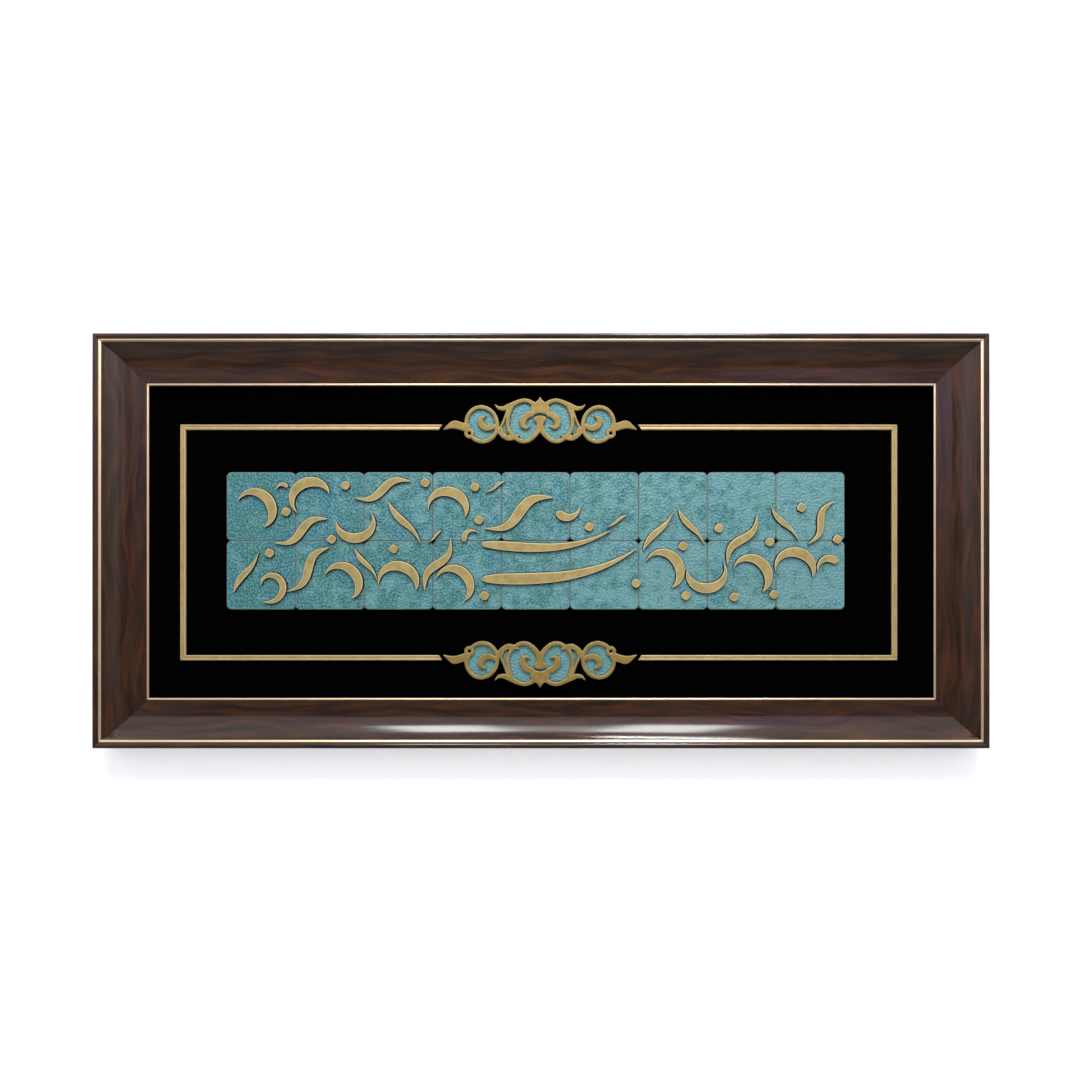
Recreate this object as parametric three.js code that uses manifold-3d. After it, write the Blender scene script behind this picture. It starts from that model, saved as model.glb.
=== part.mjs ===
// Framed wall panel: a mitred walnut moulding around a black board, which carries a field of
// turquoise tiles, a gilt border, two gilt scroll ornaments and rows of gilt relief strokes.
// Millimetres. The panel is modelled lying face up, with x along it, y up it and z out of the wall.
// The last lines stand it up: its back is then the plane Y = 0 and its face looks along -Y.

import * as THREE from "three";
import { mergeVertices } from "three/addons/utils/BufferGeometryUtils.js";
import Module from "manifold-3d";

const wasm = await Module();
wasm.setup();

// Driving dimensions
const PANEL_WIDTH = 1274;
const PANEL_HEIGHT = 590;
const RAIL_WIDTH = 69;
const RAIL_DEPTH = 49;
const FIT_GAP = 0.3;

// Moulding section: v is the distance in from the outer edge, h the height above the wall
const REBATE_WIDTH = 10;
const LIP_HALF_WIDTH = 4.1;
const LIP_DROP = 4.5;
const BEAD_RADIUS = 1.5;
const OUTER_BEAD_AT = 9.7;
const OUTER_BEAD_HEIGHT = 45.7;
const COVE_START = 11.9;
const BEND_START = 40.5;
const BEND_END = 44.5;
const FLAT_END = 65.6;
const FLAT_HEIGHT = 23.8;
const INNER_BEAD_AT = 67.3;
const INNER_BEAD_HEIGHT = 23.6;
const FLAT_SLOPE = 4;
const BEND_SLOPE = 16;
const COVE_SLOPE = 52;

// Board and what lies on it
const BOARD_THICKNESS = 9;
const BOARD_CLEARANCE = 0.5;
const BORDER_WIDTH = 1048;
const BORDER_HEIGHT = 344.5;
const BORDER_SHIFT = -4;
const STRIP_WIDTH = 7.2;
const STRIP_THICKNESS = 4;
const STRIP_ARRIS = 0.8;
const SCROLL_SHIFT = -2;
const SCROLL_HALF_GAP = 143.5;
const STRIP_END_SLANT = 4.8;
const GROUND_THICKNESS = 3.5;
const SCROLL_THICKNESS = 4.2;

// Tile field
const TILE_PITCH = 100;
const TILE_JOINT = 0.4;
const TILE_THICKNESS = 8;
const TILE_CORNER = 7;
const TILE_COLUMNS = 9;
const TILE_ROWS = 2;
const FIELD_SHIFT = [-8.5, 2];
const STROKE_THICKNESS = 4;

const COLOURS = { walnut: 0x3c2318, velvet: 0x050505, gilt: 0xc8a862, turquoise: 0x5c9c99 };

const BOARD_TOP = BOARD_THICKNESS + FIT_GAP;
const TILE_TOP = BOARD_TOP + TILE_THICKNESS;

// Each mesh has a material of its own.
function makeMesh(name, geometry, colour, roughness, metalness) {
  const material = new THREE.MeshStandardMaterial({ color: COLOURS[colour], roughness, metalness });
  const mesh = new THREE.Mesh(geometry, material);
  mesh.name = name;
  return mesh;
}

// Points of a circular arc from (x0, y0) to x1 whose slope runs from one angle to the other.
function arcBetweenSlopes(x0, y0, x1, slopeStart, slopeEnd, steps) {
  const start = THREE.MathUtils.degToRad(slopeStart);
  const end = THREE.MathUtils.degToRad(slopeEnd);
  const radius = (x1 - x0) / (Math.sin(end) - Math.sin(start));
  const points = [];
  for (let i = 1; i <= steps; i += 1) {
    const slope = start + ((end - start) * i) / steps;
    const x = x0 + radius * (Math.sin(slope) - Math.sin(start));
    const y = y0 + radius * (Math.cos(start) - Math.cos(slope));
    points.push([x, y]);
  }
  return points;
}

// Points of an elliptical arc, angles in degrees.
function ellipseArc(cx, cy, rx, ry, from, to, steps) {
  const points = [];
  for (let i = 0; i <= steps; i += 1) {
    const angle = THREE.MathUtils.degToRad(from + ((to - from) * i) / steps);
    points.push([cx + rx * Math.cos(angle), cy + ry * Math.sin(angle)]);
  }
  return points;
}

// Moulding section as [v, h] points: back, outer lip, gilt bead, cove, flat, inner bead, rebate.
function railSection() {
  const lipHeight = RAIL_DEPTH - LIP_DROP;
  const lip = ellipseArc(LIP_HALF_WIDTH, lipHeight, LIP_HALF_WIDTH, LIP_DROP, 180, 36, 8);
  const outerBead = ellipseArc(OUTER_BEAD_AT, OUTER_BEAD_HEIGHT, BEAD_RADIUS, BEAD_RADIUS, 150, 0, 4);
  const innerBead = ellipseArc(INNER_BEAD_AT, INNER_BEAD_HEIGHT, BEAD_RADIUS, BEAD_RADIUS, 180, 0, 4);
  // The hollow is drawn from the inner flat outwards, in u = -v, and then turned round.
  const flatRise = (FLAT_END - BEND_END) * Math.tan(THREE.MathUtils.degToRad(FLAT_SLOPE));
  const flat = [-BEND_END, FLAT_HEIGHT + flatRise];
  const bend = arcBetweenSlopes(flat[0], flat[1], -BEND_START, FLAT_SLOPE, BEND_SLOPE, 3);
  const [bendX, bendY] = bend[bend.length - 1];
  const cove = arcBetweenSlopes(bendX, bendY, -COVE_START, BEND_SLOPE, COVE_SLOPE, 10);
  const hollow = [[-FLAT_END, FLAT_HEIGHT], flat, ...bend, ...cove].reverse();
  return [
    [0, 0],
    ...lip,
    ...outerBead,
    ...hollow.map(([x, h]) => [-x, h]),
    ...innerBead,
    [RAIL_WIDTH, INNER_BEAD_HEIGHT],
    [RAIL_WIDTH, BOARD_TOP],
    [RAIL_WIDTH - REBATE_WIDTH, BOARD_TOP],
    [RAIL_WIDTH - REBATE_WIDTH, 0],
  ];
}

// A length of moulding along x: section points are [v, h], and ends(v) gives its two ends there.
function mouldingLength(section, ends) {
  const outline = new THREE.Shape(section.map(([v, h]) => new THREE.Vector2(v, h)));
  const geometry = new THREE.ExtrudeGeometry(outline, { depth: 1, steps: 1, bevelEnabled: false });
  const position = geometry.attributes.position;
  for (let i = 0; i < position.count; i += 1) {
    const v = position.getX(i);
    const h = position.getY(i);
    const [low, high] = ends(v);
    position.setXYZ(i, THREE.MathUtils.lerp(low, high, position.getZ(i)), v, h);
  }
  geometry.computeVertexNormals();
  return geometry;
}

// The four sides of a rectangle, each with its outer edge's middle and its turn.
function rectangleSides(width, height) {
  return [
    { side: "bottom", length: width, at: [0, -height / 2], turn: 0 },
    { side: "right", length: height, at: [width / 2, 0], turn: Math.PI / 2 },
    { side: "top", length: width, at: [0, height / 2], turn: Math.PI },
    { side: "left", length: height, at: [-width / 2, 0], turn: -Math.PI / 2 },
  ];
}

function makeRails() {
  const group = new THREE.Group();
  const section = railSection();
  for (const { side, length, at, turn } of rectangleSides(PANEL_WIDTH, PANEL_HEIGHT)) {
    const reach = length / 2 - FIT_GAP;
    const geometry = mouldingLength(section, (v) => [v - reach, reach - v]);
    const rail = makeMesh(`rail_${side}`, geometry, "walnut", 0.25, 0);
    rail.position.set(at[0], at[1], 0);
    rail.rotation.z = turn;
    group.add(rail);
  }
  return group;
}

function makeBoard() {
  const margin = 2 * (RAIL_WIDTH - REBATE_WIDTH + BOARD_CLEARANCE);
  const geometry = new THREE.BoxGeometry(PANEL_WIDTH - margin, PANEL_HEIGHT - margin, BOARD_THICKNESS);
  const board = makeMesh("backing_board", geometry, "velvet", 1, 0);
  board.position.z = BOARD_THICKNESS / 2;
  return board;
}

// Gilt strip section: flat, with its two upper edges eased.
function stripSection() {
  const shoulder = STRIP_THICKNESS - STRIP_ARRIS;
  return [
    [0, 0],
    [0, shoulder],
    [STRIP_ARRIS, STRIP_THICKNESS],
    [STRIP_WIDTH - STRIP_ARRIS, STRIP_THICKNESS],
    [STRIP_WIDTH, shoulder],
    [STRIP_WIDTH, 0],
  ];
}

// Border: whole strips left and right, and a pair with slanted inner ends along top and bottom.
function makeBorder() {
  const group = new THREE.Group();
  group.position.set(BORDER_SHIFT, 0, BOARD_TOP);
  const section = stripSection();
  for (const { side, length, at, turn } of rectangleSides(BORDER_WIDTH, BORDER_HEIGHT)) {
    const reach = length / 2 - FIT_GAP;
    const strips = [];
    if (side === "left" || side === "right") {
      strips.push([`border_${side}`, (v) => [v - reach, reach - v]]);
    } else {
      const facing = side === "bottom" ? 1 : -1;
      const middle = facing * (SCROLL_SHIFT - BORDER_SHIFT);
      const gap = (v) => SCROLL_HALF_GAP + (STRIP_END_SLANT * v) / STRIP_WIDTH;
      const names = facing === 1 ? ["left", "right"] : ["right", "left"];
      strips.push([`border_${side}_${names[0]}`, (v) => [v - reach, middle - gap(v)]]);
      strips.push([`border_${side}_${names[1]}`, (v) => [middle + gap(v), reach - v]]);
    }
    for (const [name, ends] of strips) {
      const strip = makeMesh(name, mouldingLength(section, ends), "gilt", 0.35, 0.8);
      strip.position.set(at[0], at[1], 0);
      strip.rotation.z = turn;
      group.add(strip);
    }
  }
  return group;
}

function slab(shape, thickness, curveSegments = 8) {
  return new THREE.ExtrudeGeometry(shape, { depth: thickness, bevelEnabled: false, curveSegments });
}

function shapeOf(points) {
  return new THREE.Shape(points.map(([x, y]) => new THREE.Vector2(x, y)));
}

// Outline of a band of varying width. Each point of it is [x, y, half width].
function bandOutline(points) {
  const left = [];
  const right = [];
  points.forEach(([x, y, halfWidth], i) => {
    const before = points[Math.max(i - 1, 0)];
    const after = points[Math.min(i + 1, points.length - 1)];
    const run = new THREE.Vector2(after[0] - before[0], after[1] - before[1]).normalize();
    left.push([x - run.y * halfWidth, y + run.x * halfWidth]);
    right.push([x + run.y * halfWidth, y - run.x * halfWidth]);
  });
  return left.concat(right.reverse());
}

// Smooth curve through a few stations; the half width is carried as a third coordinate.
function smoothBand(stations, steps) {
  const curve = new THREE.CatmullRomCurve3(stations.map((station) => new THREE.Vector3(...station)));
  return bandOutline(curve.getPoints(steps).map((point) => point.toArray()));
}

function toSolid(geometry) {
  const plain = geometry.clone();
  plain.deleteAttribute("normal");
  plain.deleteAttribute("uv");
  const merged = mergeVertices(plain, 1e-4);
  return new wasm.Manifold(new wasm.Mesh({
    numProp: 3,
    vertProperties: new Float32Array(merged.attributes.position.array),
    triVerts: new Uint32Array(merged.index.array),
  }));
}

function toGeometry(solid) {
  const mesh = solid.getMesh();
  const geometry = new THREE.BufferGeometry();
  geometry.setAttribute("position", new THREE.BufferAttribute(new Float32Array(mesh.vertProperties), 3));
  geometry.setIndex(new THREE.BufferAttribute(new Uint32Array(mesh.triVerts), 1));
  geometry.computeVertexNormals();
  return geometry;
}

// Scroll ornament, drawn about its own centre. Only the left half is listed: [x, y, half width].
const RING = { x: -85, y: 3.4, rx: 25, ry: 27.8, tilt: 0.22, band: 5 };
const EYELET = { x: -103.2, y: -9.8, radius: 7.1, hole: 2.6 };
const SCROLL_BANDS = {
  endLeaf: [[-108, -1.5, 5.5], [-118, 1.5, 5.4], [-125, 3, 5.6], [-133, 0, 3], [-140.9, -4.4, 0.3]],
  smallCurl: [
    [-62, 3, 2.2], [-70, -1.2, 3.2], [-77.5, -2.2, 4], [-84.4, 1.5, 4.3], [-87, 8, 3.8],
    [-84.2, 12.6, 2.4], [-78.5, 15.4, 0.3],
  ],
  wing: [
    [-65.8, 32.2, 0.3], [-60.5, 27.4, 2], [-53, 26.6, 3.1], [-45.5, 29.5, 3.6], [-38.5, 33, 3.2],
    [-30, 36.8, 2.7], [-22.5, 38.3, 2.5], [-15, 36.4, 2.7], [-7, 31, 3.4],
  ],
  lobe: [
    [0, -0.5, 4], [-5, -9, 3.3], [-11.5, -16.2, 2.9], [-19, -20.8, 2.6], [-27, -21.3, 2.5],
    [-35.5, -17.2, 2.5], [-43, -9.8, 2.5], [-47, 0, 2.5], [-47.3, 8, 2.4], [-45.3, 18, 2.3],
    [-41, 29, 2.3],
  ],
  centreCurl: [
    [-11.5, 19, 3.6], [-19.5, 15.5, 4.2], [-25, 9, 4.5], [-25, 2, 3.6], [-20.5, -1.6, 2.2],
    [-14, 0.4, 0.3],
  ],
  footLeaf: [[-60, -7.5, 2.6], [-54, -13, 3.2], [-46.5, -16.4, 3.7], [-38, -15.6, 3], [-29.8, -13, 0.3]],
  strut: [[-47.6, 24, 1.6], [-52.8, 9, 1.6], [-59.4, -5, 1.8]],
  neck: [[-64, -9, 0.6], [-61.5, -6.5, 3.4], [-57, -5, 3.2], [-53.5, -11, 0.6]],
};
const SCROLL_BAND_STEPS = {
  endLeaf: 6, smallCurl: 8, wing: 10, lobe: 12, centreCurl: 7, footLeaf: 6, strut: 1, neck: 3,
};
const KEYSTONE = [
  [0, 43.4], [-3, 38.6], [-7.3, 35.1], [-11.8, 31.5], [-13.8, 26.4], [-13.6, 19], [-12.4, 13.7],
  [-7.5, 18], [0, 20.1],
];
const STEM = [[0, 15.9], [-5, 15], [-9, 12.4], [-8.2, 8.6], [-5.4, 5.4], [-4.6, 2], [-5.4, -3], [0, -5.5]];
const SLIVER_GROUND = [[-64, -8], [-60.5, -2], [-49.5, 18], [-44, 22], [-46, -6], [-50, -13], [-60, -11]];
const GROUND_INSET = 0.9;

const asDrawn = (points) => points;
const mirrored = (points) => points.map(([x, ...rest]) => [-x, ...rest]);

// A half outline that starts and ends on the middle line, closed by its mirror image.
const closedByMirror = (half) => half.concat(mirrored(half).reverse().slice(1, -1));

function ellipseShape({ x, y }, rx, ry, tilt = 0) {
  return new THREE.Shape().absellipse(x, y, rx, ry, 0, Math.PI * 2, false, tilt);
}

// The oval of one side ring, drawn in from its outer edge by an inset.
function ringShape(half, inset) {
  const [[x]] = half([[RING.x]]);
  const tilt = -Math.sign(x) * RING.tilt;
  return ellipseShape({ x, y: RING.y }, RING.rx - inset, RING.ry - inset, tilt);
}

// Joins slabs of one thickness, then cuts the eyelet's hole on both sides.
function joinSlabs(shapes, thickness) {
  let result = wasm.Manifold.union(shapes.map((shape) => toSolid(slab(shape, thickness))));
  for (const x of [EYELET.x, -EYELET.x]) {
    const hole = slab(ellipseShape({ x, y: EYELET.y }, EYELET.hole, EYELET.hole), thickness + 2, 4);
    result = result.subtract(toSolid(hole.translate(0, 0, -1)));
  }
  return toGeometry(result);
}

function scrollGeometry() {
  const shapes = [shapeOf(closedByMirror(KEYSTONE)), shapeOf(closedByMirror(STEM))];
  for (const half of [asDrawn, mirrored]) {
    const [[eyeX]] = half([[EYELET.x]]);
    const ring = ringShape(half, 0);
    ring.holes.push(ringShape(half, RING.band));
    shapes.push(ring, ellipseShape({ x: eyeX, y: EYELET.y }, EYELET.radius, EYELET.radius));
    for (const [band, stations] of Object.entries(SCROLL_BANDS)) {
      shapes.push(shapeOf(smoothBand(half(stations), SCROLL_BAND_STEPS[band])));
    }
  }
  return joinSlabs(shapes, SCROLL_THICKNESS);
}

// The ground fills the rings and the middle, a little inside the scroll's outer edge.
function groundGeometry() {
  const middle = [[0, -7], ...SCROLL_BANDS.lobe.slice(1, -1), ...SCROLL_BANDS.wing.slice(4), [0, 39]];
  const shapes = [shapeOf(closedByMirror(middle))];
  const inset = (stations) => stations.map(([x, y, w]) => [x, y, Math.max(w - 2 * GROUND_INSET, 0.2)]);
  for (const half of [asDrawn, mirrored]) {
    shapes.push(
      ringShape(half, GROUND_INSET),
      shapeOf(half(SLIVER_GROUND)),
      shapeOf(smoothBand(half(inset(SCROLL_BANDS.endLeaf)), 6)),
      shapeOf(smoothBand(half(inset(SCROLL_BANDS.footLeaf)), 6)),
    );
  }
  return joinSlabs(shapes, GROUND_THICKNESS);
}

// The lower ornament is the upper one turned over about the panel's length.
function makeOrnaments() {
  const group = new THREE.Group();
  const centreLine = (BORDER_HEIGHT - STRIP_WIDTH) / 2;
  const scroll = scrollGeometry();
  const ground = groundGeometry();
  for (const [place, sign] of [["top", 1], ["bottom", -1]]) {
    const turn = sign === 1 ? 0 : Math.PI;
    const groundMesh = makeMesh(`ground_${place}`, ground, "turquoise", 0.7, 0);
    groundMesh.position.set(SCROLL_SHIFT, sign * centreLine, BOARD_TOP);
    groundMesh.rotation.z = turn;
    const scrollMesh = makeMesh(`scroll_${place}`, scroll, "gilt", 0.35, 0.8);
    scrollMesh.position.set(SCROLL_SHIFT, sign * centreLine, BOARD_TOP + GROUND_THICKNESS + FIT_GAP);
    scrollMesh.rotation.z = turn;
    group.add(groundMesh, scrollMesh);
  }
  return group;
}

// Square tile with rounded corners.
function tileGeometry() {
  const half = (TILE_PITCH - TILE_JOINT) / 2;
  const inner = half - TILE_CORNER;
  const outline = [];
  for (const [sx, sy, from] of [[1, 1, 0], [-1, 1, 90], [-1, -1, 180], [1, -1, 270]]) {
    outline.push(...ellipseArc(sx * inner, sy * inner, TILE_CORNER, TILE_CORNER, from, from + 90, 3));
  }
  return slab(shapeOf(outline), TILE_THICKNESS);
}

function makeTiles() {
  const group = new THREE.Group();
  group.position.z = BOARD_TOP;
  for (let row = 0; row < TILE_ROWS; row += 1) {
    for (let column = 0; column < TILE_COLUMNS; column += 1) {
      const tile = makeMesh(`tile_${row + 1}_${column + 1}`, tileGeometry(), "turquoise", 0.6, 0);
      const x = (column - (TILE_COLUMNS - 1) / 2) * TILE_PITCH;
      const y = ((TILE_ROWS - 1) / 2 - row) * TILE_PITCH;
      tile.position.set(x, y, 0);
      group.add(tile);
    }
  }
  return group;
}

// Relief strokes. A form gives, for t from 0 to 1, [x, y, half width] in units of the stroke's size.
// swell(t, lean) is a hump that starts and ends at nothing; lean moves its widest place.
const swell = (t, lean) => Math.sin(Math.PI * t ** lean);
const TIP = 0.012;
const FORMS = {
  // part of a circle, thick in the middle and drawn out at one end
  sickle: {
    steps: 15,
    at: (t) => {
      const angle = 3.7 * (t - 0.44);
      return [Math.sin(angle), -0.9 * Math.cos(angle), 0.25 * swell(t, 0.84) ** 1.2 + TIP];
    },
  },
  // long shallow bow with one blunt end; the points crowd towards its ends
  swash: {
    steps: 16,
    at: (u) => {
      const t = u * u * (3 - 2 * u);
      const x = 2 * t - 1;
      return [x, 0.16 * x * x + 0.07 * x ** 3, 0.068 * swell(t, 0.52) ** 0.8 + TIP / 3];
    },
  },
  // slender leaf with a slight double bend
  reed: {
    steps: 8,
    at: (t) => {
      const x = 2 * t - 1;
      return [x, 0.07 * Math.sin(Math.PI * x), 0.115 * swell(t, 1.35) + TIP];
    },
  },
  // lazy double bend
  wave: {
    steps: 14,
    at: (t) => {
      const x = 2 * t - 1;
      return [x, 0.17 * Math.sin(1.05 * Math.PI * x), 0.13 * swell(t, 1.1) + TIP];
    },
  },
  // curl that winds inwards
  volute: {
    steps: 20,
    at: (t) => {
      const angle = 5 * t;
      const radius = 1 - 0.5 * t;
      return [radius * Math.cos(angle), radius * Math.sin(angle), 0.19 * swell(t, 0.75) + TIP];
    },
  },
};

// Each stroke: form, centre x and y from the middle of the tile field, size, turn in degrees, and
// 1 or -1 for plain or mirrored.
const STROKES = [
  // upper row, left
  ["sickle", -408, 44, 28, 124, 1],
  ["sickle", -326, 60, 28, 200, 1],
  ["wave", -340, 14, 42, 26, 1],
  ["sickle", -262, 28, 27, 4, 1],
  ["wave", -222, 74, 42, 18, 1],
  ["reed", -190, 26, 38, 128, 1],
  ["sickle", -128, 46, 28, 158, 1],
  // lower row, left
  ["reed", -420, -46, 34, 58, -1],
  ["volute", -386, -66, 24, 250, 1],
  ["wave", -330, -42, 44, 48, 1],
  ["sickle", -282, -62, 27, 128, 1],
  ["reed", -246, -34, 28, 126, 1],
  ["sickle", -200, -62, 28, 160, 1],
  ["wave", -142, -34, 42, 62, -1],
  ["sickle", -120, -66, 27, 130, 1],
  // middle
  ["wave", -24, 40, 54, 26, 1],
  ["swash", 16, -10, 94, 2, 1],
  ["swash", 36, -52, 114, 7, 1],
  // right
  ["reed", 178, 14, 36, 52, -1],
  ["sickle", 184, -44, 28, 122, 1],
  ["reed", 226, 20, 32, 126, 1],
  ["sickle", 248, -44, 28, 0, 1],
  ["wave", 300, 2, 42, 58, -1],
  ["sickle", 312, -52, 28, 130, 1],
  ["reed", 362, 24, 30, 130, 1],
  ["sickle", 376, -42, 28, 160, 1],
  ["wave", 414, 26, 36, 60, 1],
];

function strokeGeometry([form, x, y, size, turn, hand]) {
  const { steps, at } = FORMS[form];
  const points = [];
  for (let i = 0; i <= steps; i += 1) {
    const [px, py, halfWidth] = at(i / steps);
    const point = new THREE.Vector2(px * size * hand, py * size);
    point.rotateAround(new THREE.Vector2(), THREE.MathUtils.degToRad(turn));
    points.push([x + point.x, y + point.y, halfWidth * size]);
  }
  return slab(shapeOf(bandOutline(points)), STROKE_THICKNESS);
}

function makeStrokes() {
  const group = new THREE.Group();
  group.position.z = TILE_TOP + FIT_GAP;
  STROKES.forEach((stroke, i) => {
    const name = `stroke_${String(i + 1).padStart(2, "0")}`;
    group.add(makeMesh(name, strokeGeometry(stroke), "gilt", 0.45, 0.6));
  });
  return group;
}

const field = new THREE.Group();
field.position.set(FIELD_SHIFT[0], FIELD_SHIFT[1], 0);
field.add(makeTiles(), makeStrokes());

const panel = new THREE.Group();
panel.add(makeRails(), makeBoard(), makeBorder(), makeOrnaments(), field);
panel.rotation.x = Math.PI / 2;

export default panel;
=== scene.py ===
"""Looks of a framed relief wall panel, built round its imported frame.

The panel's own pieces are worked out in face millimetres: x runs along the panel, y up it and z out
of the wall. Form.to_object turns them into the row frame in metres, where the face looks along -Y.
"""

from __future__ import annotations

import logging
import math
from dataclasses import dataclass, field, replace
from enum import Enum, member

import bpy
import numpy as np
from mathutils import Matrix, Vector


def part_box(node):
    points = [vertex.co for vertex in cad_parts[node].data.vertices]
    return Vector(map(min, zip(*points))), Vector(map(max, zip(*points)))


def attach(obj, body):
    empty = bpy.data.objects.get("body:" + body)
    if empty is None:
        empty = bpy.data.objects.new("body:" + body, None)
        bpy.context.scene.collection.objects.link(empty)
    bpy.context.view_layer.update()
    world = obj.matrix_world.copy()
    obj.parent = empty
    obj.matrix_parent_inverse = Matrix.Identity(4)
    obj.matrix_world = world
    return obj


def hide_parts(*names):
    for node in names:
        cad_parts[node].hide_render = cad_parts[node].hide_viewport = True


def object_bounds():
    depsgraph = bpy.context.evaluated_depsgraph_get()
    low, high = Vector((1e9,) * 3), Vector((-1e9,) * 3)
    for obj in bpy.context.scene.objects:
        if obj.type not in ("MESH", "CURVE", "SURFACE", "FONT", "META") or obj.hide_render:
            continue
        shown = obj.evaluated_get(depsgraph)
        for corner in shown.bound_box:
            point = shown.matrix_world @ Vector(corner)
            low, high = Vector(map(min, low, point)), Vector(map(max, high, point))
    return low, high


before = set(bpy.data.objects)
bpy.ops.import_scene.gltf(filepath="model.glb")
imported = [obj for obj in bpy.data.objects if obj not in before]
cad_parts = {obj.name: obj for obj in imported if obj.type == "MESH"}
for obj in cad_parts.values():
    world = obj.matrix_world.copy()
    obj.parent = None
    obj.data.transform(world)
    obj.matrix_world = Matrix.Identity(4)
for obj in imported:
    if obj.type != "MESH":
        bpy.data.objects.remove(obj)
CAD_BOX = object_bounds()

MM = 0.001
BODY = "root"
LOG = logging.getLogger("wall_panel")

Colour = tuple[float, float, float]


def srgb(red: int, green: int, blue: int) -> Colour:
    """Linear colour of a display colour.

    Args:
        red: 0 to 255.
        green: 0 to 255.
        blue: 0 to 255.

    Returns:
        Linear red, green and blue.
    """
    channels = [c / 255 for c in (red, green, blue)]
    return tuple(c / 12.92 if c <= 0.04045 else ((c + 0.055) / 1.055) ** 2.4 for c in channels)


# Shader maths


@dataclass(frozen=True)
class Value:
    """A socket that carries a number, with the operators as Math nodes."""

    tree: bpy.types.NodeTree
    socket: bpy.types.NodeSocket

    def _math(self, operation: str, first: Value | float, second: Value | float = 0.0) -> Value:
        """A Math node on two operands."""
        node = self.tree.nodes.new("ShaderNodeMath")
        node.operation = operation
        for place, operand in enumerate((first, second)):
            if isinstance(operand, Value):
                self.tree.links.new(operand.socket, node.inputs[place])
            else:
                node.inputs[place].default_value = operand
        return Value(self.tree, node.outputs[0])

    def __add__(self, other: Value | float) -> Value:
        """Sum."""
        return self._math("ADD", self, other)

    def __sub__(self, other: Value | float) -> Value:
        """Difference."""
        return self._math("SUBTRACT", self, other)

    def __rsub__(self, other: float) -> Value:
        """Difference from a number."""
        return self._math("SUBTRACT", other, self)

    def __mul__(self, other: Value | float) -> Value:
        """Product."""
        return self._math("MULTIPLY", self, other)

    def __truediv__(self, other: Value | float) -> Value:
        """Quotient."""
        return self._math("DIVIDE", self, other)

    def __pow__(self, power: float) -> Value:
        """Power."""
        return self._math("POWER", self, power)

    __radd__ = __add__
    __rmul__ = __mul__

    def __abs__(self) -> Value:
        """Size without sign."""
        return self._math("ABSOLUTE", self)

    def clamped(self) -> Value:
        """The value held between 0 and 1."""
        return self._math("MINIMUM", self._math("MAXIMUM", self, 0.0), 1.0)

    def arcsine(self) -> Value:
        """Angle in degrees whose sine it is."""
        return self._math("ARCSINE", self) * math.degrees(1)

    def bearing(self, ahead: Value) -> Value:
        """Angle in degrees, to the right of ahead, of a direction that runs so far to the right."""
        return self._math("ARCTAN2", self, ahead) * math.degrees(1)

    def ramp(self, low: float, high: float) -> Value:
        """Soft step from 0 at the low limit to 1 at the high one."""
        return self.above((low + high) / 2, high - low)

    def above(self, limit: float, softness: float) -> Value:
        """Soft step: 0 well under the limit, 1 well over it.

        Args:
            limit: Where the step is half way.
            softness: Width of the step.

        Returns:
            A value from 0 to 1.
        """
        node = self.tree.nodes.new("ShaderNodeMapRange")
        node.interpolation_type = "SMOOTHSTEP"
        self.tree.links.new(self.socket, node.inputs["Value"])
        node.inputs["From Min"].default_value = limit - softness / 2
        node.inputs["From Max"].default_value = limit + softness / 2
        return Value(self.tree, node.outputs[0])


class Nodes:
    """A node tree under construction, with one method that makes a node."""

    def __init__(self, tree: bpy.types.NodeTree) -> None:
        """Keeps the tree.

        Args:
            tree: The tree to build in.
        """
        self.tree = tree

    def node(self, kind: str, settings: dict, inputs: dict) -> bpy.types.Node:
        """Makes a node, sets it and then fills its sockets.

        Args:
            kind: The node's type.
            settings: Property names and values, set first.
            inputs: Socket names or numbers, each with a value, a Value or a socket to link.

        Returns:
            The node.
        """
        made = self.tree.nodes.new(kind)
        for name, setting in settings.items():
            setattr(made, name, setting)
        for place, given in inputs.items():
            self.feed(made.inputs[place], given)
        return made

    def feed(self, socket: bpy.types.NodeSocket, given: object) -> None:
        """Links a Value or a socket, or sets a constant.

        Args:
            socket: The input to fill.
            given: A Value, an output socket, a number or a colour.
        """
        if isinstance(given, Value):
            given = given.socket
        if isinstance(given, bpy.types.NodeSocket):
            self.tree.links.new(given, socket)
        elif socket.type == "RGBA":
            socket.default_value = (*given, 1.0)
        else:
            socket.default_value = given

    def value(self, socket: bpy.types.NodeSocket) -> Value:
        """Wraps a socket for expressions."""
        return Value(self.tree, socket)

    def mix(self, share: Value | float, first: object, second: object) -> bpy.types.NodeSocket:
        """Mixes two colours: the first where the share is 0, the second where it is 1."""
        made = self.node("ShaderNodeMix", {"data_type": "RGBA"}, {0: share, 6: first, 7: second})
        return made.outputs[2]


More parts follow.
